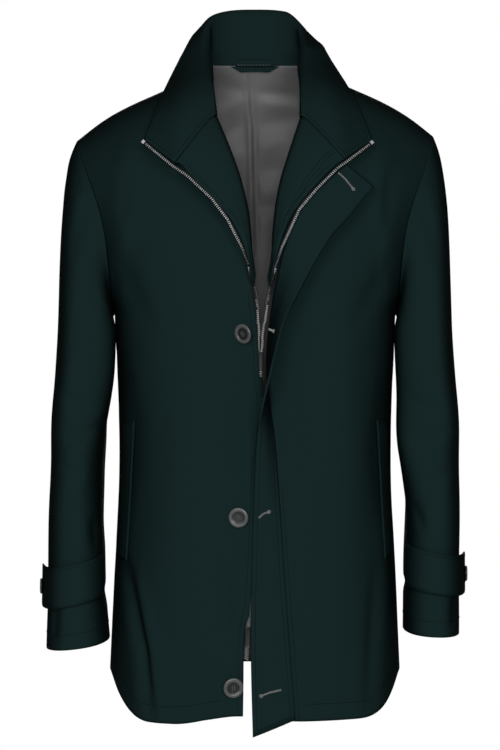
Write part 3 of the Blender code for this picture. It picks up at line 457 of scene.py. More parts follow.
@dataclass
class ClothPiece:
    """One cut piece of cloth: a thin shell on the form of its CAD wall, with its creases."""

    node: str
    finish: ClothFinish
    flat: tuple[float, float]
    axis: tuple[float, float]
    levels: int = 2
    creases: tuple[Crease, ...] = ()
    shifts: tuple[Shift, ...] = ()
    unevenness: float = 0.5
    hold: Hold = Hold.HUNG
    grow: float = 0.45

    def __post_init__(self) -> None:
        """Keep room for the built object and its sewing."""
        self.thing: Optional[bpy.types.Object] = None
        self.sewing: list[bpy.types.Object] = []
        self.edges: list[np.ndarray] = []

    def outward(self, points: np.ndarray) -> np.ndarray:
        """Direction away from the upright line that the cloth hangs round.

        Args:
            points: Rows of x, y, z in millimetres.

        Returns:
            Unit rows, level with the floor.
        """
        away = points - np.array([self.axis[0], self.axis[1], 0.0])
        away[:, 2] = 0.0
        return away / np.maximum(np.linalg.norm(away, axis=1), 1e-6)[:, None]

    def build(self) -> bpy.types.Object:
        """Make the shell from a merged copy of the CAD wall.

        Returns:
            The finished cloth.
        """
        mesh = frame["nodes"][self.node].data.copy()
        mesh.name = self.node + "_cloth"
        mesh.materials.clear()
        form = bmesh.new()
        form.from_mesh(mesh)
        bmesh.ops.remove_doubles(form, verts=form.verts, dist=1e-6)
        bmesh.ops.join_triangles(form, faces=form.faces, angle_face_threshold=math.radians(35.0),
                                 angle_shape_threshold=math.radians(70.0))
        self.edges = self.find_edges(form)
        self.fill_seams(form)
        held = form.edges.layers.float.new("crease_edge")
        for edge in form.edges:
            if len(edge.link_faces) == 2 and edge.calc_face_angle() > SHARP:
                edge[held] = 1.0
        form.to_mesh(mesh)
        form.free()
        self.thing = linked(self.node + "_cloth", mesh)
        round_off(self.thing, self.levels)
        self.lay_creases()
        self.map_cloth()
        bpy.ops.object.shade_smooth_by_angle(angle=SHARP)
        mesh = self.thing.data
        mesh.materials.append(self.finish.material())
        log.info("%s: %d faces", self.thing.name, len(mesh.polygons))
        return self.thing

    def sides(self, form: bmesh.types.BMesh) -> list[set]:
        """Faces of the wall in groups that its sharp edges part.

        Args:
            form: The merged wall.

        Returns:
            The groups, the largest first.
        """
        form.faces.ensure_lookup_table()
        form.normal_update()
        seen = set()
        groups = []
        for first in form.faces:
            if first in seen:
                continue
            group, waiting = {first}, [first]
            while waiting:
                face = waiting.pop()
                for edge in face.edges:
                    if len(edge.link_faces) != 2 or edge.calc_face_angle() > SHARP:
                        continue
                    for other in edge.link_faces:
                        if other not in group:
                            group.add(other)
                            waiting.append(other)
            seen |= group
            groups.append(group)
        return sorted(groups, key=lambda group: -sum(face.calc_area() for face in group))

    def fill_seams(self, form: bmesh.types.BMesh) -> None:
        """Grow the rims a little along the cloth, so that sewn pieces meet.

        Args:
            form: The merged wall.
        """
        groups = self.sides(form)
        if self.grow == 0.0 or len(groups) < 3:
            return
        moves = {}
        for group in groups[2:]:
            for face in group:
                for vertex in face.verts:
                    moves[vertex] = moves.get(vertex, Vector()) + face.normal
        for vertex, move in moves.items():
            if move.length > 0.5:
                vertex.co += move.normalized() * self.grow * MM

    def find_edges(self, form: bmesh.types.BMesh) -> list[np.ndarray]:
        """Find the rims of the cloth's outer side.

        Args:
            form: The merged wall.

        Returns:
            Each rim as rows of points in metres.
        """
        best, best_score = set(), -1e9
        for group in self.sides(form):
            score = 0.0
            for face in group:
                middle = np.array([face.calc_center_median()]) / MM
                score += face.calc_area() * float(np.array(face.normal) @ self.outward(middle)[0])
            if score > best_score:
                best, best_score = group, score
        rim = {}
        for face in best:
            for edge in face.edges:
                if sum(other in best for other in edge.link_faces) == 1:
                    for vertex, other in (edge.verts, reversed(edge.verts)):
                        rim.setdefault(vertex, []).append(other)
        loops = []
        left = set(rim)
        while left:
            start = next(iter(sorted(left, key=lambda vertex: vertex.index)))
            loop, here, before = [start], start, None
            left.discard(start)
            while True:
                ahead = [other for other in rim[here] if other is not before and other in left]
                if not ahead:
                    break
                before, here = here, ahead[0]
                left.discard(here)
                loop.append(here)
            loops.append(np.array([vertex.co for vertex in loop + [start]]))
        return loops

    def lay_creases(self) -> None:
        """Move both sides of the cloth together along its creases."""
        mesh = self.thing.data
        points = points_of(mesh) / MM
        points = points + sum((shift.moves(points) for shift in self.shifts), np.zeros_like(points))
        for rim in self.edges:
            rim += sum((shift.moves(rim / MM) for shift in self.shifts), np.zeros_like(rim)) * MM
        out = self.outward(points)
        rise = np.zeros(len(points))
        for crease in self.creases:
            facing = np.clip(0.5 + (points[:, 1] - self.axis[1]) * crease.face.value / 30.0, 0.0, 1.0)
            rise += crease.rise(points) * facing
        if self.unevenness > 0.0:
            rise += self.unevenness * np.array([slow_noise(point) for point in points])
        mesh.vertices.foreach_set("co", ((points + out * rise[:, None]) * MM).ravel())
        mesh.update()

    def map_cloth(self) -> None:
        """Give the cloth its own map in metres, round the axis and down."""
        mesh = self.thing.data
        points = points_of(mesh)
        x = points[:, 0] - self.axis[0] * MM
        y = points[:, 1] - self.axis[1] * MM
        radius = float(np.hypot(x, y).mean())
        turn = np.arctan2(x, -y) * radius
        corners = np.zeros(len(mesh.loops), int)
        mesh.loops.foreach_get("vertex_index", corners)
        starts = np.zeros(len(mesh.polygons), int)
        mesh.polygons.foreach_get("loop_start", starts)
        across = turn[corners]
        widest = np.maximum.reduceat(across, starts)
        narrowest = np.minimum.reduceat(across, starts)
        counts = np.diff(np.append(starts, len(corners)))
        wraps = np.repeat(widest - narrowest > math.pi * radius, counts)
        across = np.where(wraps & (across < 0.0), across + 2.0 * math.pi * radius, across)
        layer = mesh.uv_layers.new(name=CLOTH_UV)
        layer.uv.foreach_set("vector", np.stack([across, points[corners, 2]], 1).ravel().astype(np.float32))

    def surface(self) -> BVHTree:
        """The cloth as a tree for laying things on it.

        Returns:
            The tree, in metres.
        """
        mesh = self.thing.data
        return BVHTree.FromPolygons([vertex.co for vertex in mesh.vertices],
                                    [list(polygon.vertices) for polygon in mesh.polygons])

    def declare(self) -> None:
        """Attach the cloth to its body, hide its CAD node and log its shown area against its cut."""
        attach(self.thing, COAT)
        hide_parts(self.node)
        mesh = self.thing.data
        area = sum(polygon.area for polygon in mesh.polygons) / 2.0
        log.info("%s: %.4f square metres shown, %.4f cut", self.node, area, self.flat[0] * self.flat[1])
        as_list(self.sewing)


@dataclass
class NeckCloth(ClothPiece):
    """A piece sewn into the back neck seam, which is drawn straight across."""

    tuck: tuple[float, float] = (0.0, 0.0)
    slope: float = 0.0

    NECK_REACH = 30.0
    NECK_TOP = 36.0
    NECK_DROP = 19.0
    NECK_HALF_WIDTH = 70.0

    def lay_creases(self) -> None:
        """Lay the creases, lift the seam's ends level with its middle, and tuck the edge in."""
        super().lay_creases()
        mesh = self.thing.data
        points = points_of(mesh) / MM
        across = np.clip(np.abs(points[:, 0]) / self.NECK_HALF_WIDTH, 0.0, 1.0)
        lift = self.NECK_DROP * across**2
        off = points[:, 2] - (self.NECK_TOP - lift)
        near = np.clip(1.0 - np.abs(off) / self.NECK_REACH, 0.0, 1.0)
        behind = np.clip((points[:, 1] - 12.0) / 14.0, 0.0, 1.0)
        lift *= 0.75 * near * near * (3.0 - 2.0 * near) * behind
        points[:, 1] += self.slope * lift
        points[:, 2] += lift
        edge = np.clip(1.0 - np.abs(off) / 10.0, 0.0, 1.0) * behind
        points[:, 1] -= self.tuck[0] * edge
        points[:, 2] -= self.tuck[1] * edge
        mesh.vertices.foreach_set("co", (points * MM).ravel())
        mesh.update()


@dataclass(frozen=True)
class Thread:
    """A row of machine stitches: their length, gap and thickness."""

    finish: HardFinish = SHELL_THREAD
    length: float = 2.8
    gap: float = 1.0
    thickness: float = 0.55

    def dashes(self, path: np.ndarray, normals: np.ndarray) -> list[Shape]:
        """Stitches along a line that lies on the cloth.

        Args:
            path: Rows of points in metres, close together.
            normals: The cloth's outward direction at each point.

        Returns:
            The stitches as small closed shapes.
        """
        both = resampled(np.hstack([path, normals * 1e-9]), 0.0005)
        pitch = self.length + self.gap
        shapes = []
        for first in np.arange(0.0, len(both) * 0.5 - self.length, pitch):
            start = int(first / 0.5)
            end = int((first + self.length) / 0.5)
            a, b = both[start, :3], both[end, :3]
            out = both[(start + end) // 2, 3:]
            out = out / max(np.linalg.norm(out), 1e-15)
            along = b - a
            side = np.cross(along, out)
            side *= self.thickness * MM / max(np.linalg.norm(side), 1e-12)
            middle = (a + b) / 2.0
            sunk = out * 0.1 * MM
            top = middle + out * self.thickness * MM
            low = middle - out * self.thickness * MM
            corners = np.array([a - sunk, b - sunk, middle + side, middle - side, top, low])
            shapes.append((corners, STITCH_FACES))
        return shapes


STITCH_FACES = ((0, 2, 4), (2, 1, 4), (1, 3, 4), (3, 0, 4), (2, 0, 5), (1, 2, 5), (3, 1, 5), (0, 3, 5))


@dataclass(frozen=True)
class EdgeRow:
    """Stitches that follow part of a piece's rim at an even distance."""

    piece: str
    inset: float
    low: tuple[float, float, float] = (-FAR, -FAR, -FAR)
    high: tuple[float, float, float] = (FAR, FAR, FAR)
    thread: Thread = Thread()

    def sew(self, pieces: dict[str, ClothPiece]) -> list[Shape]:
        """Sew the row.

        Args:
            pieces: The cloth pieces by node name.

        Returns:
            The stitches.
        """
        cloth = pieces[self.piece]
        surface = cloth.surface()
        shapes = []
        for rim in cloth.edges:
            rim = resampled(rim, 0.002)
            inside = np.all((rim > np.array(self.low) * MM) & (rim < np.array(self.high) * MM), axis=1)
            if inside.all():
                runs = [np.arange(len(rim))]
            else:
                turn = int(np.argmin(inside))
                order = np.roll(np.arange(len(rim)), -turn)
                cuts = np.split(order, np.flatnonzero(np.diff(inside[order].astype(int))) + 1)
                runs = [cut for cut in cuts if inside[cut[0]] and len(cut) > 4]
            for run in runs:
                shapes.extend(self.follow(rim, run, surface))
        return shapes

    def follow(self, rim: np.ndarray, run: np.ndarray, surface: BVHTree) -> list[Shape]:
        """Sew along one stretch of a rim.

        Args:
            rim: The whole rim, in metres.
            run: The places in it to follow.
            surface: The cloth.

        Returns:
            The stitches.
        """
        headings = np.gradient(rim[run], axis=0)
        path, normals = [], []
        for place, heading in zip(rim[run], headings):
            spot = surface.find_nearest(Vector(place))
            across = np.cross(np.array(spot[1]), heading)
            across /= max(np.linalg.norm(across), 1e-12)
            found = []
            for way in (1.0, -1.0):
                near = surface.find_nearest(Vector(place + across * way * self.inset * MM))
                found.append((near[3], near[0], near[1]))
            away, spot_on, normal = min(found, key=lambda item: item[0])
            if away > 0.6 * self.inset * MM:
                continue
            gap = np.linalg.norm(rim - np.array(spot_on), axis=1).min()
            if gap > 0.86 * self.inset * MM:
                path.append(np.array(spot_on))
                normals.append(np.array(normal))
        if len(path) < 4:
            return []
        path, normals = np.array(path), np.array(normals)
        jumps = np.flatnonzero(np.linalg.norm(np.diff(path, axis=0), axis=1) > 0.012) + 1
        shapes = []
        for line, outs in zip(np.split(path, jumps), np.split(normals, jumps)):
            if len(line) > 3:
                shapes.extend(self.thread.dashes(line, outs))
        return shapes


@dataclass(frozen=True)
class LineRow:
    """Stitches along a line drawn on one side of the coat."""

    piece: str
    path: Path
    face: Face = Face.FRONT
    thread: Thread = Thread()

    def sew(self, pieces: dict[str, ClothPiece]) -> list[Shape]:
        """Sew the row.

        Args:
            pieces: The cloth pieces by node name.

        Returns:
            The stitches.
        """
        path, normals = laid_on(pieces[self.piece].surface(), np.array(self.path, float), self.face)
        return self.thread.dashes(path, normals) if len(path) > 3 else []


def laid_on(surface: BVHTree, path: np.ndarray, face: Face) -> tuple[np.ndarray, np.ndarray]:
    """Lay a line drawn in x and z onto a piece, seen from the front or the back.

    Args:
        surface: The piece.
        path: Rows of x, z in millimetres.
        face: The side it is seen from.

    Returns:
        Points on the piece in metres, and its outward directions there.
    """
    points, normals = [], []
    ray = Vector((0.0, -face.value, 0.0))
    for x, z in resampled(path, 2.0):
        hit = surface.ray_cast(Vector((x * MM, face.value, z * MM)), ray)
        if hit[0] is not None:
            points.append(np.array(hit[0]))
            normals.append(np.array(hit[1]))
    return np.array(points), np.array(normals)


def sew_all(rows: Sequence, pieces: dict[str, ClothPiece]) -> None:
    """Sew every row, one object of stitches for each piece and thread.

    Args:
        rows: The rows of stitches.
        pieces: The cloth pieces by node name.
    """
    groups: dict[tuple[str, HardFinish], list] = {}
    for row in rows:
        groups.setdefault((row.piece, row.thread.finish), []).extend(row.sew(pieces))
    for (name, finish), shapes in groups.items():
        if not shapes:
            log.warning("no stitches on %s", name)
            continue
        sewing = joined_piece(f"{name}_{finish.name}", shapes)
        sewing.data.materials.append(finish.material())
        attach(sewing, COAT)
        pieces[name].sewing.append(sewing)
        log.info("%s: %d stitches", sewing.name, len(shapes))


def start_cube(name: str, size: Sequence[float], place: Sequence[float]) -> bpy.types.Object:
    """A cube primitive at its size and place, left in edit mode.

    Args:
        name: Name of the object.
        size: Its sides in metres.
        place: Its middle in metres.

    Returns:
        The new object.
    """
    bpy.ops.object.select_all(action="DESELECT")
    bpy.ops.mesh.primitive_cube_add(size=1.0, location=place)
    block = bpy.context.object
    block.name = name
    bpy.ops.transform.resize(value=size)
    bpy.ops.object.transform_apply(location=True, rotation=True, scale=True)
    bpy.ops.object.mode_set(mode="EDIT")
    return block


def bevelled_block(size: Sequence[float], place: Sequence[float], offset: float, segments: int) -> Shape:
    """A small bevelled block to copy.

    Args:
        size: Its sides in metres.
        place: Its middle in metres.
        offset: Width of the bevel in metres.
        segments: Faces across the bevel.

    Returns:
        Its points in metres and its faces.
    """
    block = start_cube("block_model", size, place)
    bpy.ops.mesh.select_all(action="SELECT")
    bpy.ops.mesh.bevel(offset=offset, segments=segments, affect="EDGES")
    bpy.ops.object.mode_set(mode="OBJECT")
    shape = points_of(block.data), [list(polygon.vertices) for polygon in block.data.polygons]
    bpy.data.objects.remove(block)
    return shape


def pick_faces(thing: bpy.types.Object, test: Callable[[Vector, Vector], bool]) -> None:
    """Select the faces of the edited mesh that pass a test.

    Args:
        thing: The object in edit mode.
        test: Takes a face's middle and normal.
    """
    bpy.ops.mesh.select_mode(type="FACE")
    bpy.ops.mesh.select_all(action="DESELECT")
    form = bmesh.from_edit_mesh(thing.data)
    for face in form.faces:
        face.select_set(test(face.calc_center_median(), face.normal))
    form.select_flush_mode()
    bmesh.update_edit_mesh(thing.data)


def pick_edges(thing: bpy.types.Object, test: Callable[[Vector], bool]) -> None:
    """Select the edges of the edited mesh that run a given way.

    Args:
        thing: The object in edit mode.
        test: Takes an edge's direction.
    """
    bpy.ops.mesh.select_mode(type="EDGE")
    bpy.ops.mesh.select_all(action="DESELECT")
    form = bmesh.from_edit_mesh(thing.data)
    for edge in form.edges:
        edge.select_set(test((edge.verts[1].co - edge.verts[0].co).normalized()))
    form.select_flush_mode()
    bmesh.update_edit_mesh(thing.data)


def settle(thing: bpy.types.Object, finish: HardFinish, body: str, angle: float = 40.0) -> None:
    """Leave edit mode, smooth, finish and tie a hard piece to its body.

    Args:
        thing: The piece.
        finish: Its finish.
        body: The body it rides on.
        angle: Edges sharper than this stay crisp, in degrees.
    """
    if thing.mode == "EDIT":
        bpy.ops.object.mode_set(mode="OBJECT")
    fresh_select(thing)
    bpy.ops.object.shade_smooth_by_angle(angle=math.radians(angle))
    thing.data.materials.clear()
    thing.data.materials.append(finish.material())
    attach(thing, body)
    log.info("%s: %d faces", thing.name, len(thing.data.polygons))


@dataclass(frozen=True)
class ZipTeeth:
    """The row of metal teeth on one half of the zip, with the stop at its top."""

    tape: str
    path: Path
    cloth_side: float
    stagger: float
    pitch: float = 2.5
    tooth: tuple[float, float, float] = (3.4, 1.5, 1.7)
    stop: tuple[float, float, float] = (5.2, 4.6, 3.0)
    inset: float = 1.6

    def places(self, cloth: ClothPiece) -> list[Matrix]:
        """Where the teeth stand.

        Args:
            cloth: The tape.

        Returns:
            A placing for each tooth, X across the tape, Y along it and Z out of it.
        """
        surface = cloth.surface()
        line = resampled(np.array(self.path, float), self.pitch)
        headings = np.gradient(line, axis=0)
        found = []
        for (x, z), (along_x, along_z) in zip(line, headings):
            length = math.hypot(along_x, along_z)
            side_x, side_z = -along_z / length * self.cloth_side, along_x / length * self.cloth_side
            for inset in (self.inset, 0.6 * self.inset, 0.2 * self.inset, -0.4 * self.inset):
                start = Vector(((x + side_x * inset) * MM, -1.0, (z + side_z * inset) * MM))
                hit = surface.ray_cast(start, Vector((0.0, 1.0, 0.0)))
                if hit[0] is not None:
                    break
            if hit[0] is None:
                continue
            along = Vector((along_x, 0.0, along_z)).normalized()
            out = hit[1] if hit[1].y < 0.0 else -hit[1]
            out = (out - along * out.dot(along)).normalized()
            across = along.cross(out)
            turn = Matrix((across, along, out)).transposed().to_4x4()
            found.append(Matrix.Translation(hit[0] + along * self.stagger * self.pitch * MM) @ turn)
        return found

    def build(self, pieces: dict[str, ClothPiece]) -> None:
        """Model one tooth and one stop, and copy the tooth along the tape.

        Args:
            pieces: The cloth pieces by node name.
        """
        cloth = pieces[self.tape]
        places = self.places(cloth)
        shapes = []
        for size, spots in ((self.tooth, places[2:]), (self.stop, places[:1])):
            middle = (0.0, 0.0, size[2] * 0.4 * MM)
            corners, sides = bevelled_block([side * MM for side in size], middle, 0.45 * MM, 1)
            for spot in spots:
                turn = np.array(spot)
                shapes.append((corners @ turn[:3, :3].T + turn[:3, 3], sides))
        teeth = joined_piece(self.tape + "_teeth", shapes)
        # The teeth get the steel finish that carries painted shade.
        settle(teeth, STEEL_AND_PAINTED_SHADE, COAT, 20.0)
        cloth.sewing.append(teeth)


@dataclass(frozen=True)
class ZipSlider:
    """A zip slider with its pull tab, each over its CAD block."""

    suffix: str
    body: str

    def build(self) -> None:
        """Model the slider's waisted body and bridge, and the recessed tab."""
        low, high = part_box("slider_" + self.suffix)
        middle = (low + high) / 2.0
        size = high - low
        slider = start_cube("zip_slider_" + self.suffix, size, middle)
        pick_faces(slider, lambda centre, normal: normal.z < -0.9)
        bpy.ops.transform.resize(value=(0.72, 0.9, 1.0))
        pick_faces(slider, lambda centre, normal: normal.y < -0.9)
        bpy.ops.mesh.inset(thickness=1.3 * MM, depth=0.0)
        bpy.ops.mesh.select_all(action="SELECT")
        bpy.ops.mesh.bevel(offset=0.4 * MM, segments=2, affect="EDGES")
        settle(slider, SLIDER_METAL, COAT)
        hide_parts("slider_" + self.suffix)
        low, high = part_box("pull_" + self.suffix)
        size = high - low
        tab = start_cube("zip_pull_" + self.suffix, size, (low + high) / 2.0)
        pick_edges(tab, lambda way: abs(way.y) > 0.9)
        bpy.ops.mesh.bevel(offset=size.x * 0.45, segments=6, affect="EDGES")
        pick_faces(tab, lambda centre, normal: abs(normal.y) > 0.9)
        bpy.ops.mesh.inset(thickness=1.1 * MM, depth=-0.35 * MM, use_individual=True)
        settle(tab, SLIDER_METAL, self.body)
        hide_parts("pull_" + self.suffix)


@dataclass(frozen=True)
class TurnedButton:
    """A horn button with a rounded rim carrying a painted highlight, a sunk middle and its thread."""

    node: str
    turn: float = 0.0
    lean: float = 0.0
    lift: float = 0.0
    rim: float = 0.30
    rise: float = 0.9
    sunk: float = 1.3
    hole_spread: float = 0.17

    def build(self) -> None:
        """Model the button on its back at the origin, then lay it over its CAD form."""
        points = points_of(frame["nodes"][self.node].data)
        middle = points.mean(0)
        axis = np.linalg.svd(points - middle, full_matrices=False)[2][2]
        if axis @ np.array([middle[0] * (abs(axis[0]) > 0.5), -1.0 * (abs(axis[1]) > 0.5), 0.0]) < 0.0:
            axis = -axis
        reach = (points - middle) @ axis
        flat = (points - middle) - np.outer(reach, axis)
        radius = float(np.linalg.norm(flat, axis=1).max())
        tall = float(np.ptp(reach))
        seat = middle + axis * reach.min()
        disc = self.disc(radius, tall)
        place = Matrix.Translation(Vector(seat)) @ Vector(axis).to_track_quat("Z", "Y").to_matrix().to_4x4()
        place = place @ Matrix.Translation((0.0, 0.0, self.lift * MM))
        place = place @ Matrix.Rotation(math.radians(self.lean), 4, "Z")
        place = place @ Matrix.Rotation(math.radians(self.turn), 4, "Y")
        settle(disc, HORN, COAT, 60.0)
        # Painted highlight: the upper faces of the rim get the lighter rim finish.
        disc.data.materials.append(HORN_RIM_HIGHLIGHT.material())
        for polygon in disc.data.polygons:
            reach = math.hypot(polygon.center.x, polygon.center.y) / radius
            if 1.0 - self.rim * 1.25 < reach < 0.99 and polygon.normal.z > 0.1:
                polygon.material_index = 1
        disc.data.transform(place)
        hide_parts(self.node)
        self.thread(radius, tall, place)

    def disc(self, radius: float, tall: float) -> bpy.types.Object:
        """The turned disc on its shank, at the origin.

        Args:
            radius: Radius of the button in metres.
            tall: Its height with the shank in metres.

        Returns:
            The disc.
        """
        bpy.ops.object.select_all(action="DESELECT")
        back = tall * 0.34
        depth = tall - back - self.rise * MM
        bpy.ops.mesh.primitive_cylinder_add(vertices=40, radius=radius, depth=depth,
                                            location=(0.0, 0.0, back + depth / 2.0))
        disc = bpy.context.object
        disc.name = self.node + "_horn"
        bpy.ops.object.transform_apply(location=True, rotation=True, scale=True)
        bpy.ops.object.mode_set(mode="EDIT")
        pick_faces(disc, lambda centre, normal: normal.z > 0.9)
        bpy.ops.mesh.inset(thickness=radius * self.rim * 0.35, depth=self.rise * MM)
        bpy.ops.mesh.inset(thickness=radius * self.rim * 0.65, depth=0.0)
        bpy.ops.mesh.inset(thickness=radius * 0.10, depth=-self.sunk * MM)
        bpy.ops.mesh.inset(thickness=radius * 0.15, depth=0.0)
        pick_faces(disc, lambda centre, normal: normal.z < -0.9)
        bpy.ops.mesh.inset(thickness=radius * 0.3, depth=0.3 * MM)
        bpy.ops.mesh.inset(thickness=radius * 0.45, depth=0.0)
        bpy.ops.mesh.extrude_region_move(TRANSFORM_OT_translate={"value": (0.0, 0.0, -back - 0.3 * MM)})
        bpy.ops.object.mode_set(mode="OBJECT")
        round_off(disc, 2)
        return disc

    def thread(self, radius: float, tall: float, place: Matrix) -> None:
        """The crossed thread in the sunk middle.

        Args:
            radius: Radius of the button in metres.
            tall: Its height with the shank in metres.
            place: Where the button lies.
        """
        spread = radius * self.hole_spread
        height = tall - (self.sunk - 0.35) * MM
        bars = []
        for side in (-1.0, 1.0):
            size = (0.5 * spread, 3.2 * spread, 0.8 * MM)
            bars.append(bevelled_block(size, (side * spread * 0.7, 0.0, height), 0.22 * spread, 2))
        tied = joined_piece(self.node + "_thread", bars)
        tied.data.transform(place @ Matrix.Rotation(math.radians(25.0), 4, "Z"))
        settle(tied, BUTTON_THREAD, COAT)


@dataclass(frozen=True)
class Buttonhole:
    """A sewn buttonhole: close cross stitches, and an eyelet at its last point."""

    piece: str
    path: Path
    thread: Thread = Thread(GREY_THREAD)
    width: float = 3.2
    step: float = 0.75
    eyelet: float = 2.6

    def sew(self, pieces: dict[str, ClothPiece]) -> list[Shape]:
        """Sew the buttonhole on its piece.

        Args:
            pieces: The cloth pieces by node name.

        Returns:
            The stitches.
        """
        line, outs = laid_on(pieces[self.piece].surface(), np.array(self.path, float), Face.FRONT)
        if len(line) < 2:
            return []
        both = resampled(np.hstack([line, outs * 1e-9]), self.step * MM)
        headings = np.gradient(both[:, :3], axis=0)
        shapes = []
        for row, heading in zip(both, headings):
            out = row[3:] / max(np.linalg.norm(row[3:]), 1e-15)
            side = np.cross(heading, out)
            side *= self.width / 2.0 * MM / max(np.linalg.norm(side), 1e-12)
            shapes.append(self.stitch(row[:3] - side, row[:3] + side, out, heading))
        end, out = both[-1, :3], both[-1, 3:] / np.linalg.norm(both[-1, 3:])
        along = headings[-1] / np.linalg.norm(headings[-1])
        across = np.cross(out, along)
        for turn in np.linspace(0.0, 2.0 * math.pi, 14, endpoint=False):
            spoke = along * math.cos(turn) + across * math.sin(turn)
            inner, outer = end + spoke * 0.9 * MM, end + spoke * self.eyelet * MM
            shapes.append(self.stitch(inner, outer, out, np.cross(out, spoke) * self.step * MM))
        return shapes

    def stitch(self, start: np.ndarray, end: np.ndarray, out: np.ndarray, along: np.ndarray) -> tuple:
        """One raised stitch.

        Args:
            start: Its first end in metres.
            end: Its other end.
            out: The cloth's outward direction.
            along: Direction across the stitch.

        Returns:
            Its points and faces.
        """
        middle = (start + end) / 2.0
        half = along / max(np.linalg.norm(along), 1e-12) * self.step * 0.5 * MM
        top = middle + out * 0.55 * MM
        low = middle - out * 0.3 * MM
        return np.array([start, end, middle + half, middle - half, top, low]), STITCH_FACES


def slow_noise(point: np.ndarray) -> float:
    """Slow unevenness of hanging cloth, longer down than across.

    Args:
        point: Place in millimetres.

    Returns:
        A value from about -1 to 1.
    """
    wide = noise.noise(Vector((point[0] / 60.0, point[1] / 60.0, point[2] / 130.0)))
    fine = noise.noise(Vector((point[0] / 24.0, point[1] / 24.0, point[2] / 45.0 + 7.0)))
    return wide + 0.35 * fine


def stage_floor() -> None:
    """A plain pale floor well below the coat, as under a dressed stand."""
    bpy.ops.mesh.primitive_circle_add(vertices=96, radius=1.2, fill_type="NGON", location=(0.0, 0.0, -1.35))
    floor = bpy.context.object
    floor.name = "floor"
    pale = bpy.data.materials.new("pale_floor")
    pale.use_nodes = True
    set_inputs(pale.node_tree.nodes["Principled BSDF"],
               {"Base Color": (0.86, 0.86, 0.86, 1.0), "Roughness": 0.9})
    floor.data.materials.append(pale)


@dataclass(frozen=True)
class StudioLight:
    """One large soft lamp."""

    name: str
    place: tuple[float, float, float]
    size: float
    power: float

    def build(self, target: tuple[float, float, float]) -> None:
        """Put the lamp up, facing the target.

        Args:
            target: Point it faces, in metres.
        """
        lamp = bpy.data.lights.new(self.name, "AREA")
        lamp.shape = "DISK"
        lamp.size = self.size
        lamp.energy = self.power
        holder = bpy.data.objects.new(self.name, lamp)
        bpy.context.scene.collection.objects.link(holder)
        holder.location = self.place
        holder.rotation_mode = "QUATERNION"
        holder.rotation_quaternion = (Vector(target) - Vector(self.place)).to_track_quat("-Z", "Y")


LIGHTS = (
    StudioLight("key_left", (-1.0, -2.9, 0.5), 1.4, 46.0),
    StudioLight("key_right", (1.0, -2.9, 0.5), 1.4, 46.0),
    StudioLight("front", (0.0, -2.7, -0.2), 0.3, 26.0),
    StudioLight("top", (0.0, -0.6, 2.0), 1.8, 10.0),
    StudioLight("back", (0.0, 3.0, 0.5), 1.6, 70.0),
)


@dataclass(frozen=True)
class Studio:
    """Camera, lamps and backdrop as in the photograph."""

    distance: float = 2.4
    eye_height: float = -0.27
    view_height: float = 0.9525
    shift: tuple[float, float] = (-5.0 / 750.0, -75.0 / 750.0)
    ambient: float = 0.14

    def build(self) -> None:
        """Set up the camera, the soft light and the white surround."""
        lens = bpy.data.cameras.new("camera")
        lens.sensor_width = 36.0
        lens.lens = lens.sensor_width * self.distance / self.view_height
        camera = bpy.data.objects.new("camera", lens)
        bpy.context.scene.collection.objects.link(camera)
        lens.shift_x, lens.shift_y = self.shift
        camera.location = (0.0, -self.distance, self.eye_height)
        camera.rotation_euler = (math.radians(90.0), 0.0, 0.0)
        bpy.context.scene.camera = camera
        world = bpy.data.worlds.new("white_surround")
        world.use_nodes = True
        backdrop = world.node_tree.nodes["Background"]
        backdrop.inputs["Color"].default_value = (1.0, 1.0, 1.0, 1.0)
        seen = world.node_tree.nodes.new("ShaderNodeLightPath")
        strength = world.node_tree.nodes.new("ShaderNodeMapRange")
        strength.inputs["To Min"].default_value = self.ambient
        strength.inputs["To Max"].default_value = 1.0
        world.node_tree.links.new(seen.outputs["Is Camera Ray"], strength.inputs["Value"])
        world.node_tree.links.new(strength.outputs["Result"], backdrop.inputs["Strength"])
        bpy.context.scene.world = world
        bpy.context.scene.view_settings.view_transform = "Standard"
        for lamp in LIGHTS:
            lamp.build((0.0, 0.0, -0.35))


BODY_AXIS = (0, 0)
RIGHT_ARM = (-216, -20)
LEFT_ARM = (216, -20)
SHOULDER_LIFT = Shift(((112, 0), (180, -36), (222, -64)), 55, (0, 0, 6), Face.BOTH)
SIDE_LEFT = ((174.5, -240), (174.5, -300), (170, -450), (175, -600), (180.5, -740))
SIDE_RIGHT = tuple((-across, up) for across, up in SIDE_LEFT)
BACK_SHIFTS = (
    SHOULDER_LIFT,
    Shift(SIDE_LEFT, 12, (0, -1.7, 0), Face.BOTH),
    Shift(SIDE_RIGHT, 12, (0, -1.7, 0), Face.BOTH),
)
RIGHT_FRONT_SHIFTS = (
    Shift(SIDE_RIGHT, 12, (0, 1.5, 0), Face.BOTH),
    Shift(((-9.5, -252), (-5, -275), (0, -332), (1, -394), (-1.5, -462), (-5.5, -560), (-9.5, -630),
           (-11.5, -650)), 9, (4.2, -2.2, 0), Face.FRONT),
    Shift(((2.6, -368), (3, -394), (1.5, -430)), 9, (4.6, -0.6, 0), Face.FRONT),
    Shift(((-8, -778), (-20, -778)), 58, (0, 0, 6.6), Face.FRONT),
    Shift(((-98, -776), (-128, -770)), 40, (0, 0, -4.5), Face.FRONT),
)
RIGHT_FRONT_CREASES = creases(
    Face.FRONT,
    (-6, 9, (-163, -583), (-155, -610), (-137, -695), (-127, -778)),
    (3, 10, (-146, -600), (-122, -700), (-112, -778)),
    (-4, 10, (-158, -100), (-163, -178)),
    (-2.5, 13, (-172, -210), (-127, -306)),
    (-4, 10, (-18, -385), (-28, -445), (-30, -505)),
    (-4, 11, (-30, -548), (-38, -625), (-34, -700)),
    (-2.5, 14, (-172, -330), (-150, -420), (-155, -520)),
)
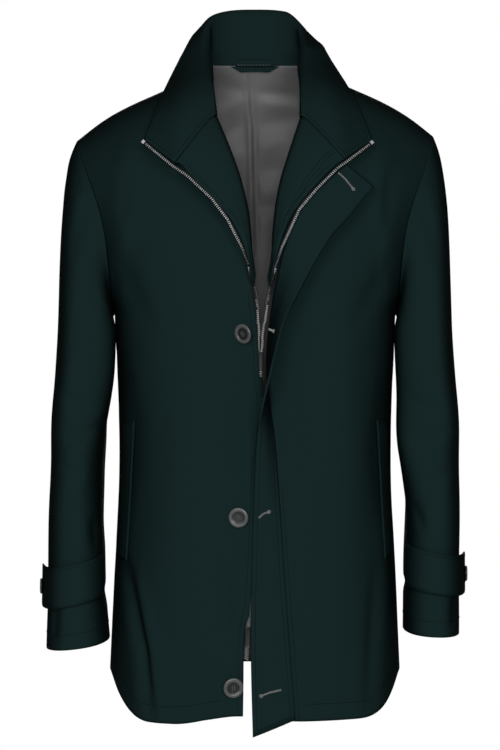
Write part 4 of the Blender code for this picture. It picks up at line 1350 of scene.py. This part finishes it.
LEFT_FRONT_SHIFTS = (
    SHOULDER_LIFT,
    Shift(SIDE_LEFT, 12, (0, 1.5, 0), Face.BOTH),
    Shift(((49, -778), (42, -684), (36, -603), (31, -521), (25, -438), (21, -408)), 9,
          (-5, 1.2, 0), Face.FRONT),
    Shift(((17.2, -352), (17, -332), (23.5, -275), (28, -250)), 9, (-2.6, 1.2, 0), Face.FRONT),
)
LEFT_FRONT_CREASES = creases(
    Face.FRONT,
    (-5, 11, (151, -584), (146, -680), (139, -775)),
    (-4, 10, (168, -106), (162, -184)),
    (-2.5, 13, (172, -215), (120, -300)),
    (-2.5, 14, (70, -250), (62, -360), (72, -470)),
    (-2.5, 13, (165, -360), (150, -450), (158, -540)),
)
BACK_CREASES = creases(
    Face.BACK,
    (-3, 12, (-90, -430), (0, -446), (70, -436)),
    (-2.5, 11, (-40, -474), (40, -482), (110, -466)),
    (-2, 9, (-62, -8), (0, -16), (60, -10)),
    (-3, 14, (-160, -250), (-105, -380)),
    (-3, 14, (162, -240), (118, -360)),
    (-3, 20, (-30, -560), (-44, -790)),
    (-2.5, 18, (48, -600), (56, -790)),
)
RIGHT_SLEEVE_CREASES = (
    *creases(Face.FRONT,
        (-4, 5, (-197, -535), (-194, -573)),
        (-3.5, 5, (-186, -622), (-178, -645)),
        (-3, 6, (-240, -636), (-243, -684)),
        (-3, 9, (-238, -385), (-188, -404)),
        (-3, 8, (-234, -440), (-184, -424)),
        (-2.5, 8, (-240, -470), (-205, -483)),
        (-2.5, 10, (-205, -137), (-223, -222)),
    ),
    *creases(Face.BACK,
        (-3, 9, (-240, -420), (-215, -440), (-195, -430)),
        (-2.5, 8, (-236, -520), (-200, -506)),
    ),
)
LEFT_SLEEVE_CREASES = (
    *creases(Face.FRONT,
        (-3.5, 5, (187, -612), (179, -628)),
        (-3, 6, (193, -516), (204, -550)),
        (-3, 6, (244, -622), (240, -668)),
        (-3, 9, (183, -391), (235, -409)),
        (-3, 8, (188, -440), (238, -428)),
        (-2.5, 8, (205, -492), (240, -478)),
        (-2.5, 10, (206, -140), (224, -226)),
    ),
    *creases(Face.BACK,
        (-3, 9, (240, -430), (214, -446), (196, -438)),
        (-2.5, 8, (236, -512), (202, -500)),
    ),
)
LINING_CREASES = creases(
    Face.BACK,
    (3, 2.8, (-6.5, 27), (-5.2, -1.5), (-1.3, -41), (0, -80), (1.3, -139), (2.6, -210)),
    (-4.6, 3.4, (-12.5, 27), (-11, -1.5), (-7.5, -41), (-6, -80), (-4.7, -139), (-3.4, -210)),
    (3, 8, (2, 2), (59, -5)),
    (-2.6, 8, (4, -13), (56, -19)),
    (3.5, 9, (4, -40), (63, -31)),
    (-3, 9, (4, -74), (43, -60)),
    (3.2, 8, (4, -102), (40, -93)),
    (-2.6, 8, (4, -128), (33, -126)),
    (2.5, 7, (4, -149), (30, -147)),
    (-2, 7, (4, -168), (27, -165)),
    (2.5, 8, (-56, 11), (-10, 2)),
    (-2.6, 9, (-56, -32), (-10, -8)),
    (2.6, 8, (-46, -60), (-8, -32)),
    (-2.5, 9, (-35, -87), (-6, -74)),
    (2.4, 8, (-25, -119), (-4, -108)),
    (-2, 8, (-20, -146), (-3, -139)),
)
COLLAR_SHIFTS = (
    Shift(((60, 92), (74, 74)), 26, (-3, 0, -6), Face.BOTH),
    SHOULDER_LIFT,
)
GORGE_RIGHT = Shift(((-51, -47), (-90, -102), (-99, -111)), 6, (-1, 0, 0.8), Face.FRONT)
GORGE_LEFT = Shift(((60, -48), (78, -68), (92, -85), (111, -106)), 6, (0.9, 0, 0.8), Face.FRONT)
RIGHT_TIP = (
    Shift(((-3.4, -238), (-3.2, -237)), 6, (2.4, 3.5, -15), Face.FRONT),
    Shift(((-8.6, -241), (-8.8, -240)), 6, (5.6, 4.5, -12), Face.FRONT),
)
LEFT_TIP = (
    Shift(((19.2, -241), (19, -240)), 6, (-1.7, 3.5, -13), Face.FRONT),
    Shift(((24.4, -243.5), (24.6, -242.5)), 6, (-4.9, 4.5, -10.5), Face.FRONT),
)
PATCH_SHIFTS = (
    Shift(((-40, 10.9), (40, 10.9)), 17, (0, -9.5, 13.5), Face.BACK),
    Shift(((-40, 27.7), (40, 27.7)), 17, (0, -1, 8.3), Face.BACK),
)
LOOP_SHIFTS = (
    Shift(((-40, 16.2), (40, 16.2)), 7.4, (0, -7.6, 15.3), Face.BACK),
    Shift(((-40, 23.6), (40, 23.6)), 7.4, (0, -4.4, 12.4), Face.BACK),
)
CLOTH_PIECES = (
    ClothPiece("front_right", SHELL, (0.42, 0.86), BODY_AXIS, 3, RIGHT_FRONT_CREASES, RIGHT_FRONT_SHIFTS),
    ClothPiece("front_left", SHELL, (0.42, 0.86), BODY_AXIS, 3, LEFT_FRONT_CREASES, LEFT_FRONT_SHIFTS),
    ClothPiece("back", SHELL, (0.62, 0.90), BODY_AXIS, 3, BACK_CREASES, BACK_SHIFTS),
    NeckCloth("lining_back", LINING, (0.56, 0.75), BODY_AXIS, 3, LINING_CREASES, tuck=(-0.4, -2.5),
              slope=-0.9),
    ClothPiece("sleeve_right", SHELL, (0.24, 0.68), RIGHT_ARM, 3, RIGHT_SLEEVE_CREASES, grow=0.7),
    ClothPiece("under_sleeve_right", SHELL, (0.22, 0.60), RIGHT_ARM, 3, RIGHT_SLEEVE_CREASES, grow=0.7),
    ClothPiece("sleeve_left", SHELL, (0.24, 0.68), LEFT_ARM, 3, LEFT_SLEEVE_CREASES, (SHOULDER_LIFT,),
               grow=0.7),
    ClothPiece("under_sleeve_left", SHELL, (0.22, 0.60), LEFT_ARM, 3, LEFT_SLEEVE_CREASES, (SHOULDER_LIFT,),
               grow=0.7),
    NeckCloth("collar", SHELL, (0.50, 0.14), BODY_AXIS, 3, (), COLLAR_SHIFTS, 0.3, Hold.FOLDED,
              tuck=(1.5, 3), slope=-0.2),
    ClothPiece("facing_right", SHELL, (0.10, 0.22), BODY_AXIS, 2, (), (GORGE_RIGHT, *RIGHT_TIP), 0.2,
               Hold.FOLDED),
    ClothPiece("facing_left", SHELL, (0.10, 0.22), BODY_AXIS, 2, (), (GORGE_LEFT, *LEFT_TIP), 0.2,
               Hold.FOLDED),
    ClothPiece("flap", SHELL, (0.06, 0.74), BODY_AXIS, unevenness=0.2, hold=Hold.FOLDED),
    # The zip tapes carry the painted shade of their darkened colour.
    *(ClothPiece(f"zip_{side}", TAPE_PAINTED_SHADE, (0.012, 0.66), BODY_AXIS, 1, unevenness=0, grow=0) for side in SIDES),
    *(ClothPiece(f"pocket_{side}", SHELL, (0.03, 0.18), BODY_AXIS, unevenness=0, grow=0) for side in SIDES),
    ClothPiece("strap_right", SHELL, (0.05, 0.17), (-218, -60), unevenness=0.2, grow=0),
    ClothPiece("strap_left", SHELL, (0.05, 0.17), (218, -60), unevenness=0.2, grow=0),
    ClothPiece("neck_patch", SHELL, (0.073, 0.02), (0, 400), 2, (), PATCH_SHIFTS, 0, grow=0),
    ClothPiece("hanger_loop", DARK_TAPE, (0.05, 0.0105), (0, 400), 2, (), LOOP_SHIFTS, 0, grow=0),
)


ROWS = (
    EdgeRow("front_right", 20, low=(-FAR, -FAR, -810), high=(-16, -30, -715)),
    EdgeRow("front_left", 20, low=(55, -FAR, -810), high=(FAR, -30, -715)),
    EdgeRow("back", 20, low=(-170, 20, -810), high=(170, FAR, -700)),
    *(EdgeRow(f"{half}sleeve_{side}", 18, low=(-FAR, -FAR, -730), high=(FAR, FAR, top))
      for side, top in zip(SIDES, (-682, -671)) for half in ("", "under_")),
    EdgeRow("front_right", 6, low=(-30, -FAR, -775), high=(20, -60, -260)),
    EdgeRow("flap", 5, low=(-20, -FAR, -800), high=(150, 0, -120)),
    EdgeRow("collar", 5, low=(-160, -150, -120), high=(160, 60, 90)),
    EdgeRow("facing_right", 5, low=(-110, -FAR, -240), high=(-20, 0, -112)),
    EdgeRow("facing_left", 5, low=(36, -FAR, -240), high=(112, 0, -108)),
    *(EdgeRow(f"{kind}_{side}", inset) for kind, inset in (("strap", 4), ("pocket", 3)) for side in SIDES),
    Buttonhole("flap", ((99.5, -114.6), (109, -123.5), (118.8, -136.2))),
    Buttonhole("flap", ((12.7, -303.6), (22.3, -307.2))),
    Buttonhole("flap", ((4.8, -531), (10, -526), (16.8, -524))),
    Buttonhole("flap", ((31.2, -737), (19, -739.5), (7.2, -744))),
    LineRow("facing_left", ((93.6, -86.4), (78, -102), (62.4, -122.4), (48, -146.4), (37.2, -168), (31.2,
            -188.4))),
    LineRow("facing_left", ((96.6, -90), (81, -105.6), (65.4, -126), (51, -150), (40.2, -171.6), (34.2,
            -192))),
    LineRow("hanger_loop", ((-22, 33.6), (22, 33.6)), thread=Thread(GREY_THREAD, 1.6, 2.4, 0.5)),
    LineRow("front_left", ((33, -500), (43.5, -640), (53, -772))),
)


ZIP_TEETH = (
    ZipTeeth("zip_right", (
        (-138, -78), (-100, -110), (-82.5, -122), (-53, -150), (-34, -175), (-17, -209),
        (-8.5, -231), (-0.5, -256), (4, -285), (5, -332), (3.5, -394), (1, -462),
        (-3, -560), (-6.5, -630), (-9, -668), (-11, -700)), 1, 0),
    ZipTeeth("zip_left", (
        (145.5, -78), (112, -104), (101, -112), (75, -138), (54, -163), (33.5, -209),
        (26, -231), (18.5, -254), (13.5, -280), (7, -332), (4.5, -394), (2, -462),
        (-2, -560), (-5.5, -630), (-8, -668), (-10, -700)), -1, 0.5),
)
SLIDERS = (ZipSlider("upper", "upper_tab"), ZipSlider("lower", "lower_tab"))
BUTTONS = (
    TurnedButton("button_upper", -38, 18, 5.5),
    TurnedButton("button_middle", -8, 10, 0.8),
    TurnedButton("button_lower", 9, -20, 1),
    TurnedButton("cuff_button_right", lift=-1.8),
    TurnedButton("cuff_button_left", lift=-1.8),
)


def main() -> None:
    """Dress the coat and light it."""
    logging.basicConfig(level=logging.INFO, format="%(name)s: %(message)s")
    pieces = {piece.node: piece for piece in CLOTH_PIECES}
    for piece in pieces.values():
        piece.build()
    for teeth in ZIP_TEETH:
        teeth.build(pieces)
    for hardware in (*SLIDERS, *BUTTONS):
        hardware.build()
    sew_all(ROWS, pieces)
    for piece in pieces.values():
        piece.declare()
    stage_floor()
    Studio().build()


if __name__ == "__main__":
    main()
